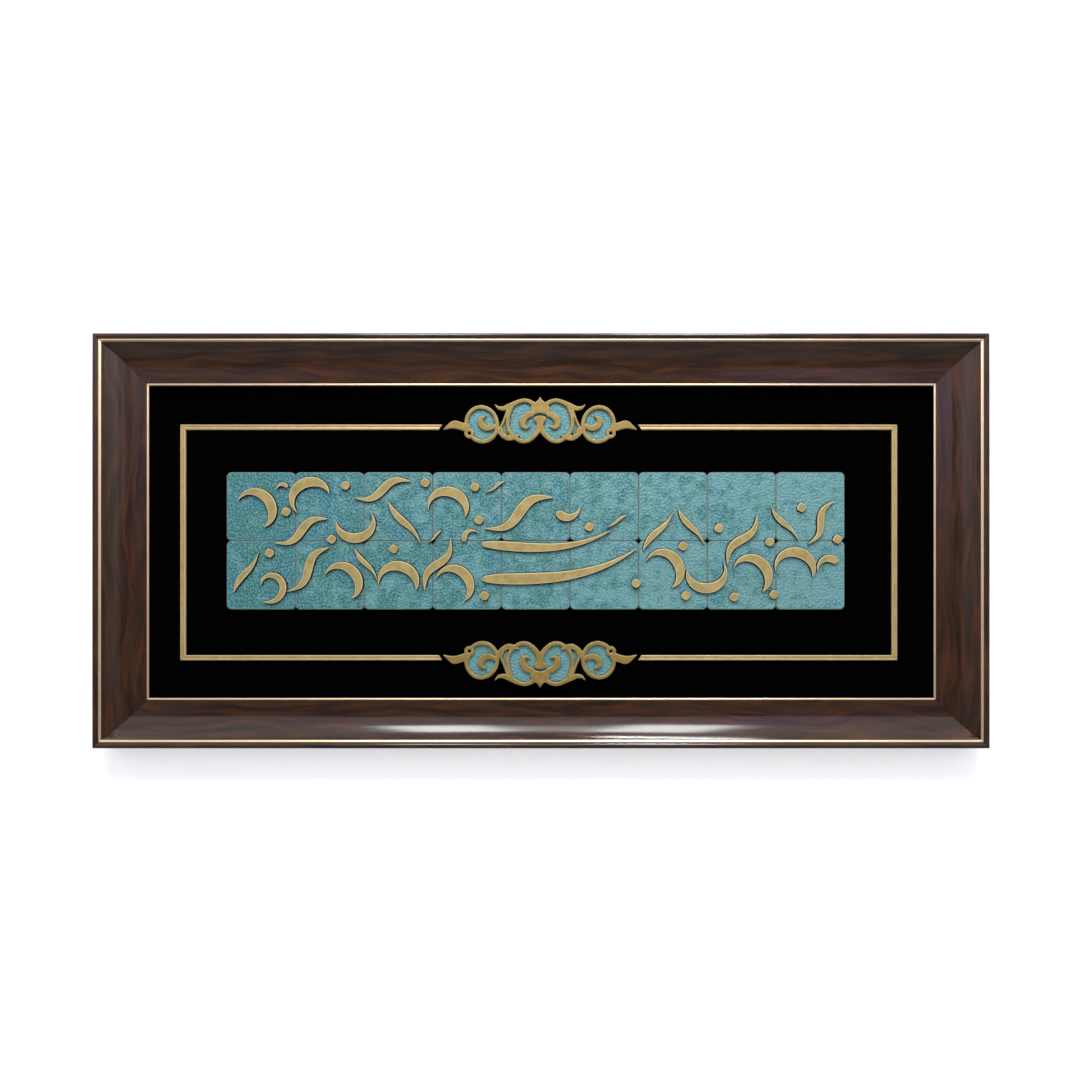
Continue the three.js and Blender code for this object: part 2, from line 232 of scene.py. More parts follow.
class Finish(Nodes):
    """One material under construction."""

    def __init__(self, name: str) -> None:
        """Makes the material with its Principled shader.

        Args:
            name: The material's name.
        """
        self.material = bpy.data.materials.new(name)
        self.material.use_nodes = True
        super().__init__(self.material.node_tree)
        self.shader = self.tree.nodes["Principled BSDF"]

    def attribute(self, name: str) -> Value:
        """A per-point value of the piece."""
        made = self.node("ShaderNodeAttribute", {"attribute_name": name}, {})
        return self.value(made.outputs["Fac"])

    def face_place(self) -> bpy.types.NodeSocket:
        """Object coordinates in millimetres."""
        place = self.node("ShaderNodeTexCoord", {}, {})
        scaled = self.node(
            "ShaderNodeVectorMath", {"operation": "SCALE"}, {0: place.outputs["Object"], "Scale": 1 / MM}
        )
        return scaled.outputs[0]

    def vector(self, x: Value | float, y: Value | float, z: Value | float) -> bpy.types.NodeSocket:
        """Joins three values into a vector."""
        return self.node("ShaderNodeCombineXYZ", {}, {0: x, 1: y, 2: z}).outputs[0]

    def noise(self, place: bpy.types.NodeSocket, size: float, detail: float = 2.0) -> Value:
        """Noise from 0 to 1 whose blobs have about the size given, in the place's own units."""
        made = self.node(
            "ShaderNodeTexNoise", {}, {"Vector": place, "Scale": 1 / size, "Detail": detail}
        )
        return self.value(made.outputs["Fac"])

    def bump(self, height: Value, distance: float, strength: float = 1.0) -> None:
        """Puts a height, in units of the distance in metres, on the shader's normal."""
        made = self.node(
            "ShaderNodeBump", {}, {"Height": height, "Distance": distance, "Strength": strength}
        )
        self.feed(self.shader.inputs["Normal"], made.outputs[0])

    def set(self, **inputs: object) -> Finish:
        """Fills the shader's sockets, whose names are given with _ for a space.

        Args:
            **inputs: Socket names and what goes into them.

        Returns:
            The finish itself.
        """
        for name, given in inputs.items():
            self.feed(self.shader.inputs[name.replace("_", " ")], given)
        return self


# Finishes


@dataclass(frozen=True)
class WalnutLacquer:
    """Dark walnut veneer under a glossy lacquer, with faint reddish flames along the moulding."""

    dark: Colour = srgb(34, 21, 14)
    brown: Colour = srgb(54, 36, 26)
    flame: Colour = srgb(76, 42, 23)

    def build(self) -> bpy.types.Material:
        """Makes the material. It reads the piece's along and across values, in millimetres."""
        finish = Finish("walnut_lacquer")
        along, across = finish.attribute("along"), finish.attribute("across")
        drift = finish.noise(finish.vector(along / 170, across / 70, 0.0), 1.0) - 0.5
        bent = across + drift * 44
        figure = finish.noise(finish.vector(along / 130, bent / 12, 3.0), 1.0, 3.0)
        flame = finish.noise(finish.vector(along / 80, bent / 8, 17.0), 1.0, 3.0)
        vein = finish.noise(finish.vector(along / 60, bent / 3.4, 9.0), 1.0, 2.0)
        pores = finish.noise(finish.vector(along / 9, across / 0.5, 5.0), 1.0, 1.0)
        wood = finish.mix(figure.above(0.5, 0.4), self.dark, self.brown)
        wood = finish.mix(flame.above(0.58, 0.26) * 0.6, wood, self.flame)
        wood = finish.mix(vein.above(0.6, 0.3) * 0.4, wood, self.dark)
        wood = finish.mix(pores.above(0.64, 0.12) * 0.2, wood, self.dark)
        finish.bump(pores, 0.000002)
        finish.set(Base_Color=wood, Roughness=0.12 + figure * 0.07, Specular_IOR_Level=0.5)
        return finish.material


@dataclass(frozen=True)
class BareTimber:
    """Unfinished back of the moulding."""

    light: Colour = srgb(168, 132, 92)
    dark: Colour = srgb(126, 92, 60)

    def build(self) -> bpy.types.Material:
        """Makes the material, with the grain along the moulding."""
        finish = Finish("bare_timber")
        along, across = finish.attribute("along"), finish.attribute("across")
        grain = finish.noise(finish.vector(along / 120, across / 3, 1.0), 1.0, 4.0)
        finish.bump(grain, 0.0002)
        wood = finish.mix(grain.above(0.5, 0.4), self.light, self.dark)
        finish.set(Base_Color=wood, Roughness=0.75, Specular_IOR_Level=0.3)
        return finish.material


class GiltKind(Enum):
    """Where a gilt finish is used."""

    BEAD = "bead_gilt"
    STRIP = "strip_gilt"
    SCROLL = "scroll_gilt"


@dataclass(frozen=True)
class Gilding:
    """Satin gold leaf or gold paint: clouded on the beads, else with pale edges of wear and painted
    highlight, and painted shade on the sides where the piece has side values.
    """

    kind: GiltKind
    gold: Colour
    # Pale colour: clouds of wear, and on the edges wear and painted highlight.
    wear_and_highlight: Colour
    # Dark colour of the sides: painted shade.
    side: Colour
    metallic: float
    roughness: float

    def build(self) -> bpy.types.Material:
        """Makes the material. Except on the beads it reads the piece's rim values, for wear and painted
        highlight, and side values, for painted shade.
        """
        finish = Finish(self.kind.value)
        place = finish.face_place()
        cloud = finish.noise(place, 9.0, 3.0)
        if self.kind is GiltKind.BEAD:
            colour = finish.mix(cloud.ramp(0.35, 0.7), self.gold, self.wear_and_highlight)
        else:
            fine = finish.noise(place, 0.9, 2.0)
            # Pale edges: wear and painted highlight along the rims.
            colour = finish.mix(finish.attribute("rim").ramp(0.3, 0.85), self.gold, self.wear_and_highlight)
            colour = finish.mix(cloud.ramp(0.35, 0.7) * 0.3, colour, self.wear_and_highlight)
            # Painted shade on the sides.
            colour = finish.mix(finish.attribute("side").ramp(0.1, 0.5), colour, self.side)
            finish.bump(fine, 0.00008)
        finish.set(Base_Color=colour, Roughness=self.roughness + (cloud - 0.5) * 0.12, Metallic=self.metallic)
        return finish.material


@dataclass(frozen=True)
class StrokeGold:
    """Matt ochre gold: pale rims of painted highlight and wear, and dark sides of painted shade."""

    face: Colour = srgb(158, 141, 91)
    deep: Colour = srgb(140, 122, 69)
    # Pale colour of the rims' painted highlight and wear, also used for flecks in the grain.
    rim: Colour = srgb(185, 176, 137)
    # Painted shade: dark colour of the walls, standing in for their shadow on the tiles.
    side: Colour = srgb(34, 28, 14)

    def build(self) -> bpy.types.Material:
        """Makes the material. It reads rim, 1 on the arris, for the painted highlight and wear, and side, 1
        on the walls, for the painted shade.
        """
        finish = Finish("stroke_gold")
        place = finish.face_place()
        cloud = finish.noise(place, 12.0, 3.0)
        grain = finish.noise(place, 2.2, 3.0)
        gold = finish.mix(cloud.ramp(0.3, 0.7), self.face, self.deep)
        gold = finish.mix(grain.ramp(0.5, 0.8) * 0.4, gold, self.rim)
        # Painted highlight and wear along the arris.
        gold = finish.mix(finish.attribute("rim").ramp(0.2, 0.9) * 0.85, gold, self.rim)
        # Painted shade on the walls.
        gold = finish.mix(finish.attribute("side").ramp(0.3, 0.8), gold, self.side)
        finish.bump(grain, 0.00025)
        finish.set(Base_Color=gold, Roughness=0.5, Metallic=0.15, Specular_IOR_Level=0.3)
        return finish.material


@dataclass(frozen=True)
class TurquoisePatina:
    """Stippled turquoise patina: blue and green clouds, dark pits, pale crests and rims of wear."""

    green: Colour = srgb(55, 112, 107)
    blue: Colour = srgb(58, 114, 122)
    deep: Colour = srgb(22, 58, 72)
    pale: Colour = srgb(115, 157, 159)
    rim: Colour = srgb(98, 120, 118)
    earth: Colour = srgb(94, 87, 82)

    def build(self) -> bpy.types.Material:
        """Makes the material. It reads relief, -1 in the pits and 1 on the crests, tone and rim."""
        finish = Finish("turquoise_patina")
        place = finish.face_place()
        relief = finish.attribute("relief")
        rim = finish.attribute("rim")
        cloud = finish.noise(place, 30.0, 3.0)
        patch = finish.noise(place, 12.0, 3.0)
        speck = finish.noise(place, 2.4, 2.0)
        crumb = finish.noise(place, 0.9, 2.0)
        colour = finish.mix(cloud.ramp(0.36, 0.62), self.green, self.blue)
        height = relief + (speck - 0.5) * 1.2
        colour = finish.mix((0 - height).ramp(0.0, 1.3) * 0.6, colour, self.deep)
        colour = finish.mix(height.ramp(0.2, 1.4) * 0.5, colour, self.pale)
        colour = finish.mix((patch + finish.attribute("tone") * 0.3).ramp(0.45, 0.8) * 0.5, colour, self.pale)
        colour = finish.mix(rim.ramp(0.1, 0.8) * 0.6, colour, self.rim)
        colour = finish.mix((rim * patch).ramp(0.3, 0.6) * 0.6, colour, self.earth)
        finish.bump(speck * 0.7 + crumb * 0.3, 0.0005)
        finish.set(Base_Color=colour, Roughness=0.62, Specular_IOR_Level=0.3)
        return finish.material


@dataclass(frozen=True)
class BoardFinish:
    """Black velvet on the front of the board and brown hardboard on its back."""

    velvet: Colour = (0.0006, 0.0006, 0.0007)
    hardboard: Colour = srgb(112, 78, 50)
    back_depth: float = -0.4

    def build(self) -> bpy.types.Material:
        """Makes the material. The back is where the depth, Y in millimetres, is nearly zero."""
        finish = Finish("velvet_board")
        place = finish.face_place()
        depth = finish.value(finish.node("ShaderNodeSeparateXYZ", {}, {0: place}).outputs["Y"])
        back = depth.above(self.back_depth, 0.2)
        fibre = finish.noise(place, 1.6, 4.0)
        brown = finish.mix(fibre.above(0.5, 0.4), self.hardboard, srgb(84, 56, 36))
        finish.bump(fibre, 0.0001)
        finish.set(
            Base_Color=finish.mix(back, self.velvet, brown), Roughness=1.0, Specular_IOR_Level=0.0
        )
        return finish.material


# Forms


@dataclass
class Form:
    """A closed shape in face millimetres, with the values that its finishes read.

    Attributes:
        points: One row a point: x, y and z.
        faces: Arrays of point numbers, one row a face, counter-clockwise seen from outside.
        finishes: Which finish each array of faces takes.
        values: Per-point values by name.
    """

    points: np.ndarray
    faces: list[np.ndarray]
    finishes: list[int] = field(default_factory=list)
    values: dict[str, np.ndarray] = field(default_factory=dict)

    def placed(self, x: float, y: float, z: float, turn: float = 0.0) -> Form:
        """Turns the form about z, in degrees, and then moves it."""
        c, s = math.cos(math.radians(turn)), math.sin(math.radians(turn))
        turned = self.points @ np.array([[c, s, 0], [-s, c, 0], [0, 0, 1]])
        return replace(self, points=turned + np.array([x, y, z]))

    def to_object(
        self, name: str, materials: list[bpy.types.Material], slot: str, nodes: list[str], sharp: float = 40
    ) -> bpy.types.Object:
        """Makes the mesh object in the row frame and has it ride on the body.

        Args:
            name: The piece's name.
            materials: One for each finish number.
            slot: The record's material slot; not used.
            nodes: The CAD nodes that it stands for.
            sharp: Edges over this angle, in degrees, stay sharp.

        Returns:
            The object.
        """
        mesh = bpy.data.meshes.new(name)
        x, y, z = self.points.T
        mesh.vertices.add(len(self.points))
        mesh.vertices.foreach_set("co", (np.stack([x, -z, y], 1) * MM).astype(np.float32).ravel())
        sizes = np.concatenate([np.full(len(part), part.shape[1]) for part in self.faces])
        corners = np.concatenate([part.ravel() for part in self.faces])
        mesh.loops.add(len(corners))
        mesh.loops.foreach_set("vertex_index", corners.astype(np.int32))
        mesh.polygons.add(len(sizes))
        mesh.polygons.foreach_set("loop_start", (np.cumsum(sizes) - sizes).astype(np.int32))
        numbers = self.finishes or [0] * len(self.faces)
        chosen = np.concatenate([np.full(len(p), n) for p, n in zip(self.faces, numbers)])
        mesh.polygons.foreach_set("material_index", chosen.astype(np.int32))
        for key, given in self.values.items():
            layer = mesh.attributes.new(key, "FLOAT", "POINT")
            layer.data.foreach_set("value", np.broadcast_to(given, len(self.points)).astype(np.float32))
        for material in materials:
            mesh.materials.append(material)
        mesh.update(calc_edges=True)
        mesh.validate()
        mesh.shade_smooth()
        mesh.set_sharp_from_angle(angle=math.radians(sharp))
        made = bpy.data.objects.new(name, mesh)
        bpy.context.scene.collection.objects.link(made)
        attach(made, BODY)
        if nodes:
            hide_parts(*nodes)
        LOG.info("%s: %d faces", name, len(sizes))
        return made


def arc(cx: float, cy: float, rx: float, ry: float, start: float, end: float, steps: int) -> np.ndarray:
    """Points of an elliptical arc: centre plus radii times cosine and sine of an even run of angles.

    Args:
        cx: Centre's first coordinate.
        cy: Centre's second coordinate.
        rx: First radius.
        ry: Second radius.
        start: First angle in degrees.
        end: Last angle in degrees.
        steps: Number of steps.

    Returns:
        One row a point.
    """
    angle = np.radians(np.linspace(start, end, steps + 1))
    return np.stack([cx + rx * np.cos(angle), cy + ry * np.sin(angle)], 1)


def arc_between_slopes(
    x0: float, y0: float, x1: float, slope0: float, slope1: float, steps: int
) -> np.ndarray:
    """Circular arc from a point to x1 whose slope runs from one angle to another.

    The radius is the run divided by the difference of the slopes' sines.

    Args:
        x0: Start's first coordinate.
        y0: Start's second coordinate.
        x1: End's first coordinate.
        slope0: Slope at the start, in degrees.
        slope1: Slope at the end, in degrees.
        steps: Number of steps.

    Returns:
        One row a point, without the start.
    """
    first, last = math.radians(slope0), math.radians(slope1)
    radius = (x1 - x0) / (math.sin(last) - math.sin(first))
    slope = np.linspace(first, last, steps + 1)[1:]
    x = x0 + radius * (np.sin(slope) - math.sin(first))
    y = y0 + radius * (math.cos(first) - np.cos(slope))
    return np.stack([x, y], 1)


def length_of_section(section: np.ndarray, low: np.ndarray, high: np.ndarray, steps: int) -> Form:
    """Carries a closed section along x, with its two ends cut to given places.

    A point is low plus its share of high minus low along x, and the section's own two coordinates
    across and up. Section points run clockwise with v to the right and h up.

    Args:
        section: One row a point: v across and h up.
        low: Where each section point starts along x.
        high: Where each section point ends along x.
        steps: Number of steps along.

    Returns:
        The form: one array of faces for each section side, then the two ends.
    """
    count = len(section)
    share = np.linspace(0, 1, steps + 1)[:, None]
    x = low + share * (high - low)
    v, h = (np.broadcast_to(c, x.shape) for c in section.T)
    row = np.arange(steps)[:, None] * count
    faces = []
    for side in range(count):
        after = (side + 1) % count
        faces.append(np.hstack([row + side, row + count + side, row + count + after, row + after]))
    faces.append(np.arange(count)[None])
    faces.append(np.arange(count)[::-1][None] + steps * count)
    run = np.linalg.norm(np.diff(section, axis=0), axis=1)
    across = np.concatenate([[0], np.cumsum(run)])
    values = {"along": x.ravel(), "across": np.tile(across, steps + 1)}
    return Form(np.stack([x, v, h], 2).reshape(-1, 3), faces, values=values)


class Side(Enum):
    """The sides of a rectangle, each with its turn in degrees."""

    BOTTOM = 0
    RIGHT = 90
    TOP = 180
    LEFT = -90

    def outer_middle(self, width: float, height: float) -> tuple[float, float]:
        """Middle of this side of a rectangle centred on nothing."""
        turn = math.radians(self.value)
        return math.sin(turn) * width / 2, -math.cos(turn) * height / 2

    def length(self, width: float, height: float) -> float:
        """Length of this side."""
        return width if self in (Side.BOTTOM, Side.TOP) else height


@dataclass
class Moulding:
    """Four mitred lengths of lacquered moulding with two gilt beads."""

    width: float = 69.0
    depth: float = 49.0
    rebate_width: float = 10.0
    rebate_depth: float = 9.3
    lip_half_width: float = 4.1
    lip_drop: float = 4.5
    bead_radius: float = 1.5
    outer_bead: tuple[float, float] = (9.7, 45.7)
    inner_bead: tuple[float, float] = (67.3, 23.6)
    cove_start: float = 11.9
    bend: tuple[float, float] = (40.5, 44.5)
    flat_end: float = 65.6
    flat_height: float = 23.8
    slopes: tuple[float, float, float] = (4.0, 16.0, 52.0)
    fit_gap: float = 0.3
    steps_along: int = 24

    def section(self) -> tuple[np.ndarray, list[int]]:
        """The section, clockwise from the back's outer corner, and each side's finish.

        The lip is part of an ellipse, the beads are parts of circles, and the hollow is a straight
        run, a short bend and a long arc between named slopes.

        Returns:
            One row a point, and for each side 0 for lacquer, 1 for gilt, 2 for bare timber or 3
            for the sight edge, which takes the board's black finish.
        """
        flat_slope, bend_slope, cove_slope = self.slopes
        lip = arc(
            self.lip_half_width, self.depth - self.lip_drop, self.lip_half_width, self.lip_drop, 180, 36, 18
        )
        outer = arc(*self.outer_bead, self.bead_radius, self.bead_radius, 150, 0, 12)
        inner = arc(*self.inner_bead, self.bead_radius, self.bead_radius, 180, 0, 12)
        rise = (self.flat_end - self.bend[1]) * math.tan(math.radians(flat_slope))
        flat = np.array([[-self.flat_end, self.flat_height], [-self.bend[1], self.flat_height + rise]])
        bend = arc_between_slopes(*flat[1], -self.bend[0], flat_slope, bend_slope, 10)
        cove = arc_between_slopes(*bend[-1], -self.cove_start, bend_slope, cove_slope, 30)
        hollow = (np.vstack([flat, bend, cove]) * [-1, 1])[::-1]
        back = np.array(
            [
                [self.width, self.rebate_depth],
                [self.width - self.rebate_width, self.rebate_depth],
                [self.width - self.rebate_width, 0],
            ]
        )
        runs = [np.zeros((1, 2)), lip, outer, hollow, inner, [[self.width, self.inner_bead[1]]], back]
        finishes = [0] * (1 + len(lip)) + [1] * len(outer) + [0] * len(hollow) + [1] * len(inner)
        finishes[len(lip)] = 0
        return np.vstack(runs), finishes + [3] + [2] * 3

    def build(self, materials: list[bpy.types.Material]) -> None:
        """Makes the four rails, each in its CAD node's place.

        Args:
            materials: Finishes of the face, the beads, the back and the sight edge.
        """
        section, finishes = self.section()
        low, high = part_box("rail_bottom")
        across = (high.x - low.x) / MM + 2 * self.fit_gap
        low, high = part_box("rail_left")
        up = (high.z - low.z) / MM + 2 * self.fit_gap
        v = section[:, 0]
        for number, side in enumerate(Side):
            reach = side.length(across, up) / 2 - self.fit_gap
            form = length_of_section(section, v - reach, reach - v, self.steps_along)
            form.finishes = [*finishes, 0, 0]
            form.values["along"] = form.values["along"] + number * 2300
            form.values["rim"] = 0.0
            form.values["side"] = 0.0
            name = f"rail_{side.name.lower()}"
            placed = form.placed(*side.outer_middle(across, up), 0, side.value)
            placed.to_object(f"walnut_{name}", materials, "walnut", [name], sharp=28)


@dataclass
class Border:
    """Gilt strips round the field: rounded edges and a shallow groove along the middle."""

    width: float = 1048.0
    height: float = 344.5
    shift: float = -4.0
    scroll_shift: float = -2.0
    half_gap: float = 143.5
    end_slant: float = 4.8
    strip_width: float = 7.2
    thickness: float = 4.0
    sunk: float = 0.3
    edge_radius: float = 1.1
    groove_depth: float = 0.55
    groove_width: float = 1.3
    base: float = 9.3
    fit_gap: float = 0.3

    def section(self) -> tuple[np.ndarray, np.ndarray]:
        """The strip's section and its rim value.

        The top is flat less a bell-shaped groove, between two quarter rounds.

        Returns:
            One row a point, and 1 on the rounded edges falling to 0 in the middle, where the gilt paints pale
            edges of wear and painted highlight.
        """
        r, w, t = self.edge_radius, self.strip_width, self.thickness
        left = arc(r, t - r, r, r, 180, 90, 6)
        v = np.linspace(r, w - r, 13)[1:-1]
        top = np.stack([v, t - self.groove_depth * np.exp(-(((v - w / 2) / self.groove_width) ** 2))], 1)
        right = arc(w - r, t - r, r, r, 90, 0, 6)
        section = np.vstack([[[0, -self.sunk]], left, top, right, [[w, -self.sunk]]])
        # Rim value: pale edges of wear and painted highlight.
        rim = np.abs(section[:, 0] - w / 2) / (w / 2)
        return section, rim**2

    def build(self, gilt: bpy.types.Material) -> None:
        """Makes the six strips.

        Args:
            gilt: Their finish.
        """
        section, rim = self.section()
        v = section[:, 0]
        for side in Side:
            reach = side.length(self.width, self.height) / 2 - self.fit_gap
            name = f"border_{side.name.lower()}"
            runs = {name: (v - reach, reach - v)}
            if side in (Side.BOTTOM, Side.TOP):
                facing = 1 if side is Side.BOTTOM else -1
                middle = facing * (self.scroll_shift - self.shift)
                gap = self.half_gap + self.end_slant * v / self.strip_width
                first, second = ("left", "right")[::facing]
                runs = {
                    f"{name}_{first}": (v - reach, middle - gap),
                    f"{name}_{second}": (middle + gap, reach - v),
                }
            for node, (low, high) in runs.items():
                form = length_of_section(section, low, high, 16)
                form.values["rim"] = np.tile(rim, 17)
                x, y = side.outer_middle(self.width, self.height)
                placed = form.placed(x + self.shift, y, self.base, side.value)
                placed.to_object(f"gilt_{node}", [gilt], "gilt_trim", [node])


# Plates cut to an outline


@dataclass
class Sheet:
    """A square grid over the face, on which an outline is a signed distance, positive inside."""

    half_width: float
    half_height: float
    spacing: float

    def axes(self) -> tuple[np.ndarray, np.ndarray]:
        """Grid coordinates along x and y, both centred."""
        nx = math.ceil(self.half_width / self.spacing)
        ny = math.ceil(self.half_height / self.spacing)
        return np.arange(-nx, nx + 1) * self.spacing, np.arange(-ny, ny + 1) * self.spacing

    def grid(self) -> tuple[np.ndarray, np.ndarray]:
        """Grid points, x and y, with rows along x."""
        x, y = self.axes()
        return np.meshgrid(x, y, indexing="ij")


def sampled(values: np.ndarray, sheet: Sheet, x: np.ndarray, y: np.ndarray) -> np.ndarray:
    """Reads grid values between the grid points.

    Bilinear: the four corner values weighted by the nearness along x and y.

    Args:
        values: Values on the sheet's grid.
        sheet: The grid.
        x: Places along x.
        y: Places along y.

    Returns:
        The values there.
    """
    ax, ay = sheet.axes()
    i = np.clip((x - ax[0]) / sheet.spacing, 0, len(ax) - 1.001)
    j = np.clip((y - ay[0]) / sheet.spacing, 0, len(ay) - 1.001)
    i0, j0 = i.astype(int), j.astype(int)
    a, b = i - i0, j - j0
    near = values[i0, j0] * (1 - b) + values[i0, j0 + 1] * b
    far = values[i0 + 1, j0] * (1 - b) + values[i0 + 1, j0 + 1] * b
    return near * (1 - a) + far * a


def plate(
    sheet: Sheet,
    inside: np.ndarray,
    bottom: float,
    top: float,
    rim: float,
    band: float,
    foot: float = 0.0,
    relief: np.ndarray | None = None,
    relief_height: float = 0.0,
    one_outline: bool = False,
) -> Form:
    """Plate with the outline where the signed distance is zero, and a rounded top edge.

    Cells inside the outline are kept, and the points along their edge are moved on to it, down
    the slope of the distance. The top's height is the quarter round of the distance, which is
    top - rim + sqrt(rim^2 - (rim - distance)^2), plus the relief.

    Args:
        sheet: The grid.
        inside: Signed distance on it.
        bottom: Height of the underside.
        top: Height of the flat top.
        rim: Radius of the top edge.
        band: Width of the band along the edge that carries wear and painted highlight.
        foot: How far the sides run out at the bottom.
        relief: Relief on the grid, from -1 to 1.
        relief_height: Height of the relief.
        one_outline: True if it has no holes, so that its underside is one face.

    Returns:
        The form, with rim, relief and side values.
    """
    middle = (inside[1:, 1:] + inside[:-1, 1:] + inside[1:, :-1] + inside[:-1, :-1]) / 4
    kept = middle > 0
    # Two kept cells that meet only at a corner get a third one between them.
    falling = kept[:-1, :-1] & kept[1:, 1:] & ~kept[1:, :-1] & ~kept[:-1, 1:]
    kept[1:, :-1] |= falling
    rising = ~kept[:-1, :-1] & ~kept[1:, 1:] & kept[1:, :-1] & kept[:-1, 1:]
    kept[1:, 1:] |= rising
    number = np.arange(inside.size).reshape(inside.shape)
    cells = np.stack([number[:-1, :-1], number[1:, :-1], number[1:, 1:], number[:-1, 1:]], -1)[kept]
    starts, ends = cells.ravel(), np.roll(cells, -1, axis=1).ravel()
    forward = starts * inside.size + ends
    open_edge = ~np.isin(forward, ends * inside.size + starts)
    used, cells = np.unique(cells, return_inverse=True)
    cells = cells.reshape(-1, 4)
    edges = np.searchsorted(used, np.stack([starts, ends], 1)[open_edge])

    gx, gy = sheet.grid()
    x, y = gx.ravel()[used], gy.ravel()[used]
    slope_x, slope_y = np.gradient(inside, sheet.spacing)
    rim_points = np.unique(edges)
    for _ in range(4):
        px, py = x[rim_points], y[rim_points]
        off = sampled(inside, sheet, px, py)
        sx, sy = sampled(slope_x, sheet, px, py), sampled(slope_y, sheet, px, py)
        size = np.maximum(sx**2 + sy**2, 0.3)
        limit = sheet.spacing * 0.5
        x[rim_points] = px - np.clip(off * sx / size, -limit, limit)
        y[rim_points] = py - np.clip(off * sy / size, -limit, limit)

    depth = np.maximum(inside.ravel()[used], 0)
    depth[rim_points] = 0
    distance = np.minimum(depth, rim)
    height = top - rim + np.sqrt(np.maximum(rim**2 - (rim - distance) ** 2, 0))
    # Edge band: wear on the tiles and painted highlight on the gilt scroll; it also flattens the relief.
    wear_and_highlight = 1 - np.minimum(depth / band, 1)
    bumps = np.zeros_like(height)
    if relief is not None:
        bumps = relief.ravel()[used]
        height = height + bumps * relief_height * (1 - wear_and_highlight**2)
    count = len(used)
    spread_x, spread_y = np.zeros(count), np.zeros(count)
    sx = sampled(slope_x, sheet, x[rim_points], y[rim_points])
    sy = sampled(slope_y, sheet, x[rim_points], y[rim_points])
    size = np.maximum(np.hypot(sx, sy), 0.5)
    spread_x[rim_points], spread_y[rim_points] = foot * sx / size, foot * sy / size
    upper = np.stack([x, y, height], 1)
    walls = np.stack([edges[:, 0], edges[:, 0] + count, edges[:, 1] + count, edges[:, 1]], 1)
    if one_outline:
        order = rim_points[np.argsort(-np.arctan2(y[rim_points], x[rim_points]))]
        flat = np.full(len(order), bottom)
        lower = np.stack([(x - spread_x)[order], (y - spread_y)[order], flat], 1)
        place = np.empty(count, int)
        place[order] = np.arange(len(order)) + count
        walls[:, 1], walls[:, 2] = place[edges[:, 0]], place[edges[:, 1]]
        under = (np.arange(len(order)) + count)[None]
        source = order
    else:
        lower = np.stack([x - spread_x, y - spread_y, np.full(count, bottom)], 1)
        under = cells[:, ::-1] + count
        source = np.arange(count)
    values = {
        "rim": np.concatenate([wear_and_highlight, np.zeros(len(lower))]),
        "relief": np.concatenate([bumps, bumps[source]]),
        # Side is 1 on the walls, where the gilt finishes paint shade.
        "side": np.concatenate([np.zeros(count), np.ones(len(lower))]),
    }
    return Form(np.vstack([upper, lower]), [cells, walls, under], values=values)


def worm_relief(
    shape: tuple[int, int], spacing: float, wavelength: float, spread: float, sharpness: float, seed: int
) -> np.ndarray:
    """Worm-like stipple: white noise that keeps one band of wavelengths, then squashed.

    In the spectrum the noise is multiplied by a bell centred on the wavelength. Back in space it is
    divided by its own deviation, multiplied by the sharpness and passed through tanh.

    Args:
        shape: Grid size.
        spacing: Grid spacing.
        wavelength: Distance between crests.
        spread: Width of the band, as a share of the wavelength.
        sharpness: How steep the sides of the worms are.
        seed: Seed of the noise.

    Returns:
        Relief from -1 to 1.
    """
    noise = np.random.default_rng(seed).standard_normal(shape)
    fx, fy = np.fft.fftfreq(shape[0], spacing), np.fft.fftfreq(shape[1], spacing)
    frequency = np.hypot(fx[:, None], fy[None]) * wavelength
    worms = np.fft.ifft2(np.fft.fft2(noise) * np.exp(-(((frequency - 1) / spread) ** 2))).real
    return np.tanh(sharpness * worms / worms.std())


# Scroll ornaments


Station = tuple[float, ...]


def catmull_rom(stations: np.ndarray, samples: int) -> np.ndarray:
    """Centripetal Catmull-Rom curve through the stations.

    Knots are spaced by the square root of the distance between stations, and each span is the
    usual pyramid of linear mixes of its four nearest stations.

    Args:
        stations: One row a station, of any number of coordinates.
        samples: Samples in each span.

    Returns:
        One row a point.
    """
    first, last = 2 * stations[0] - stations[1], 2 * stations[-1] - stations[-2]
    p = np.vstack([first, stations, last])
    knots = np.concatenate([[0], np.cumsum(np.linalg.norm(np.diff(p, axis=0), axis=1) ** 0.5)])
    spans = []
    for k in range(len(stations) - 1):
        t0, t1, t2, t3 = knots[k : k + 4]
        t = np.linspace(t1, t2, samples, endpoint=False)[:, None]
        a1 = ((t1 - t) * p[k] + (t - t0) * p[k + 1]) / (t1 - t0)
        a2 = ((t2 - t) * p[k + 1] + (t - t1) * p[k + 2]) / (t2 - t1)
        a3 = ((t3 - t) * p[k + 2] + (t - t2) * p[k + 3]) / (t3 - t2)
        b1 = ((t2 - t) * a1 + (t - t0) * a2) / (t2 - t0)
        b2 = ((t3 - t) * a2 + (t - t1) * a3) / (t3 - t1)
        spans.append(((t2 - t) * b1 + (t - t1) * b2) / (t2 - t1))
    return np.vstack([*spans, stations[-1:]])


def band_distance(x: np.ndarray, y: np.ndarray, stations: np.ndarray) -> np.ndarray:
    """Signed distance inside a band of varying width.

    It is the largest, over close points of its centre line, of the half width there less the
    distance to that point.

    Args:
        x: Grid of places along x.
        y: Grid of places along y.
        stations: Rows of x, y and half width.

    Returns:
        The distance, positive inside.
    """
    best = np.full(x.shape, -1e3)
    for cx, cy, half in catmull_rom(stations, 24):
        np.maximum(best, half - np.hypot(x - cx, y - cy), out=best)
    return best


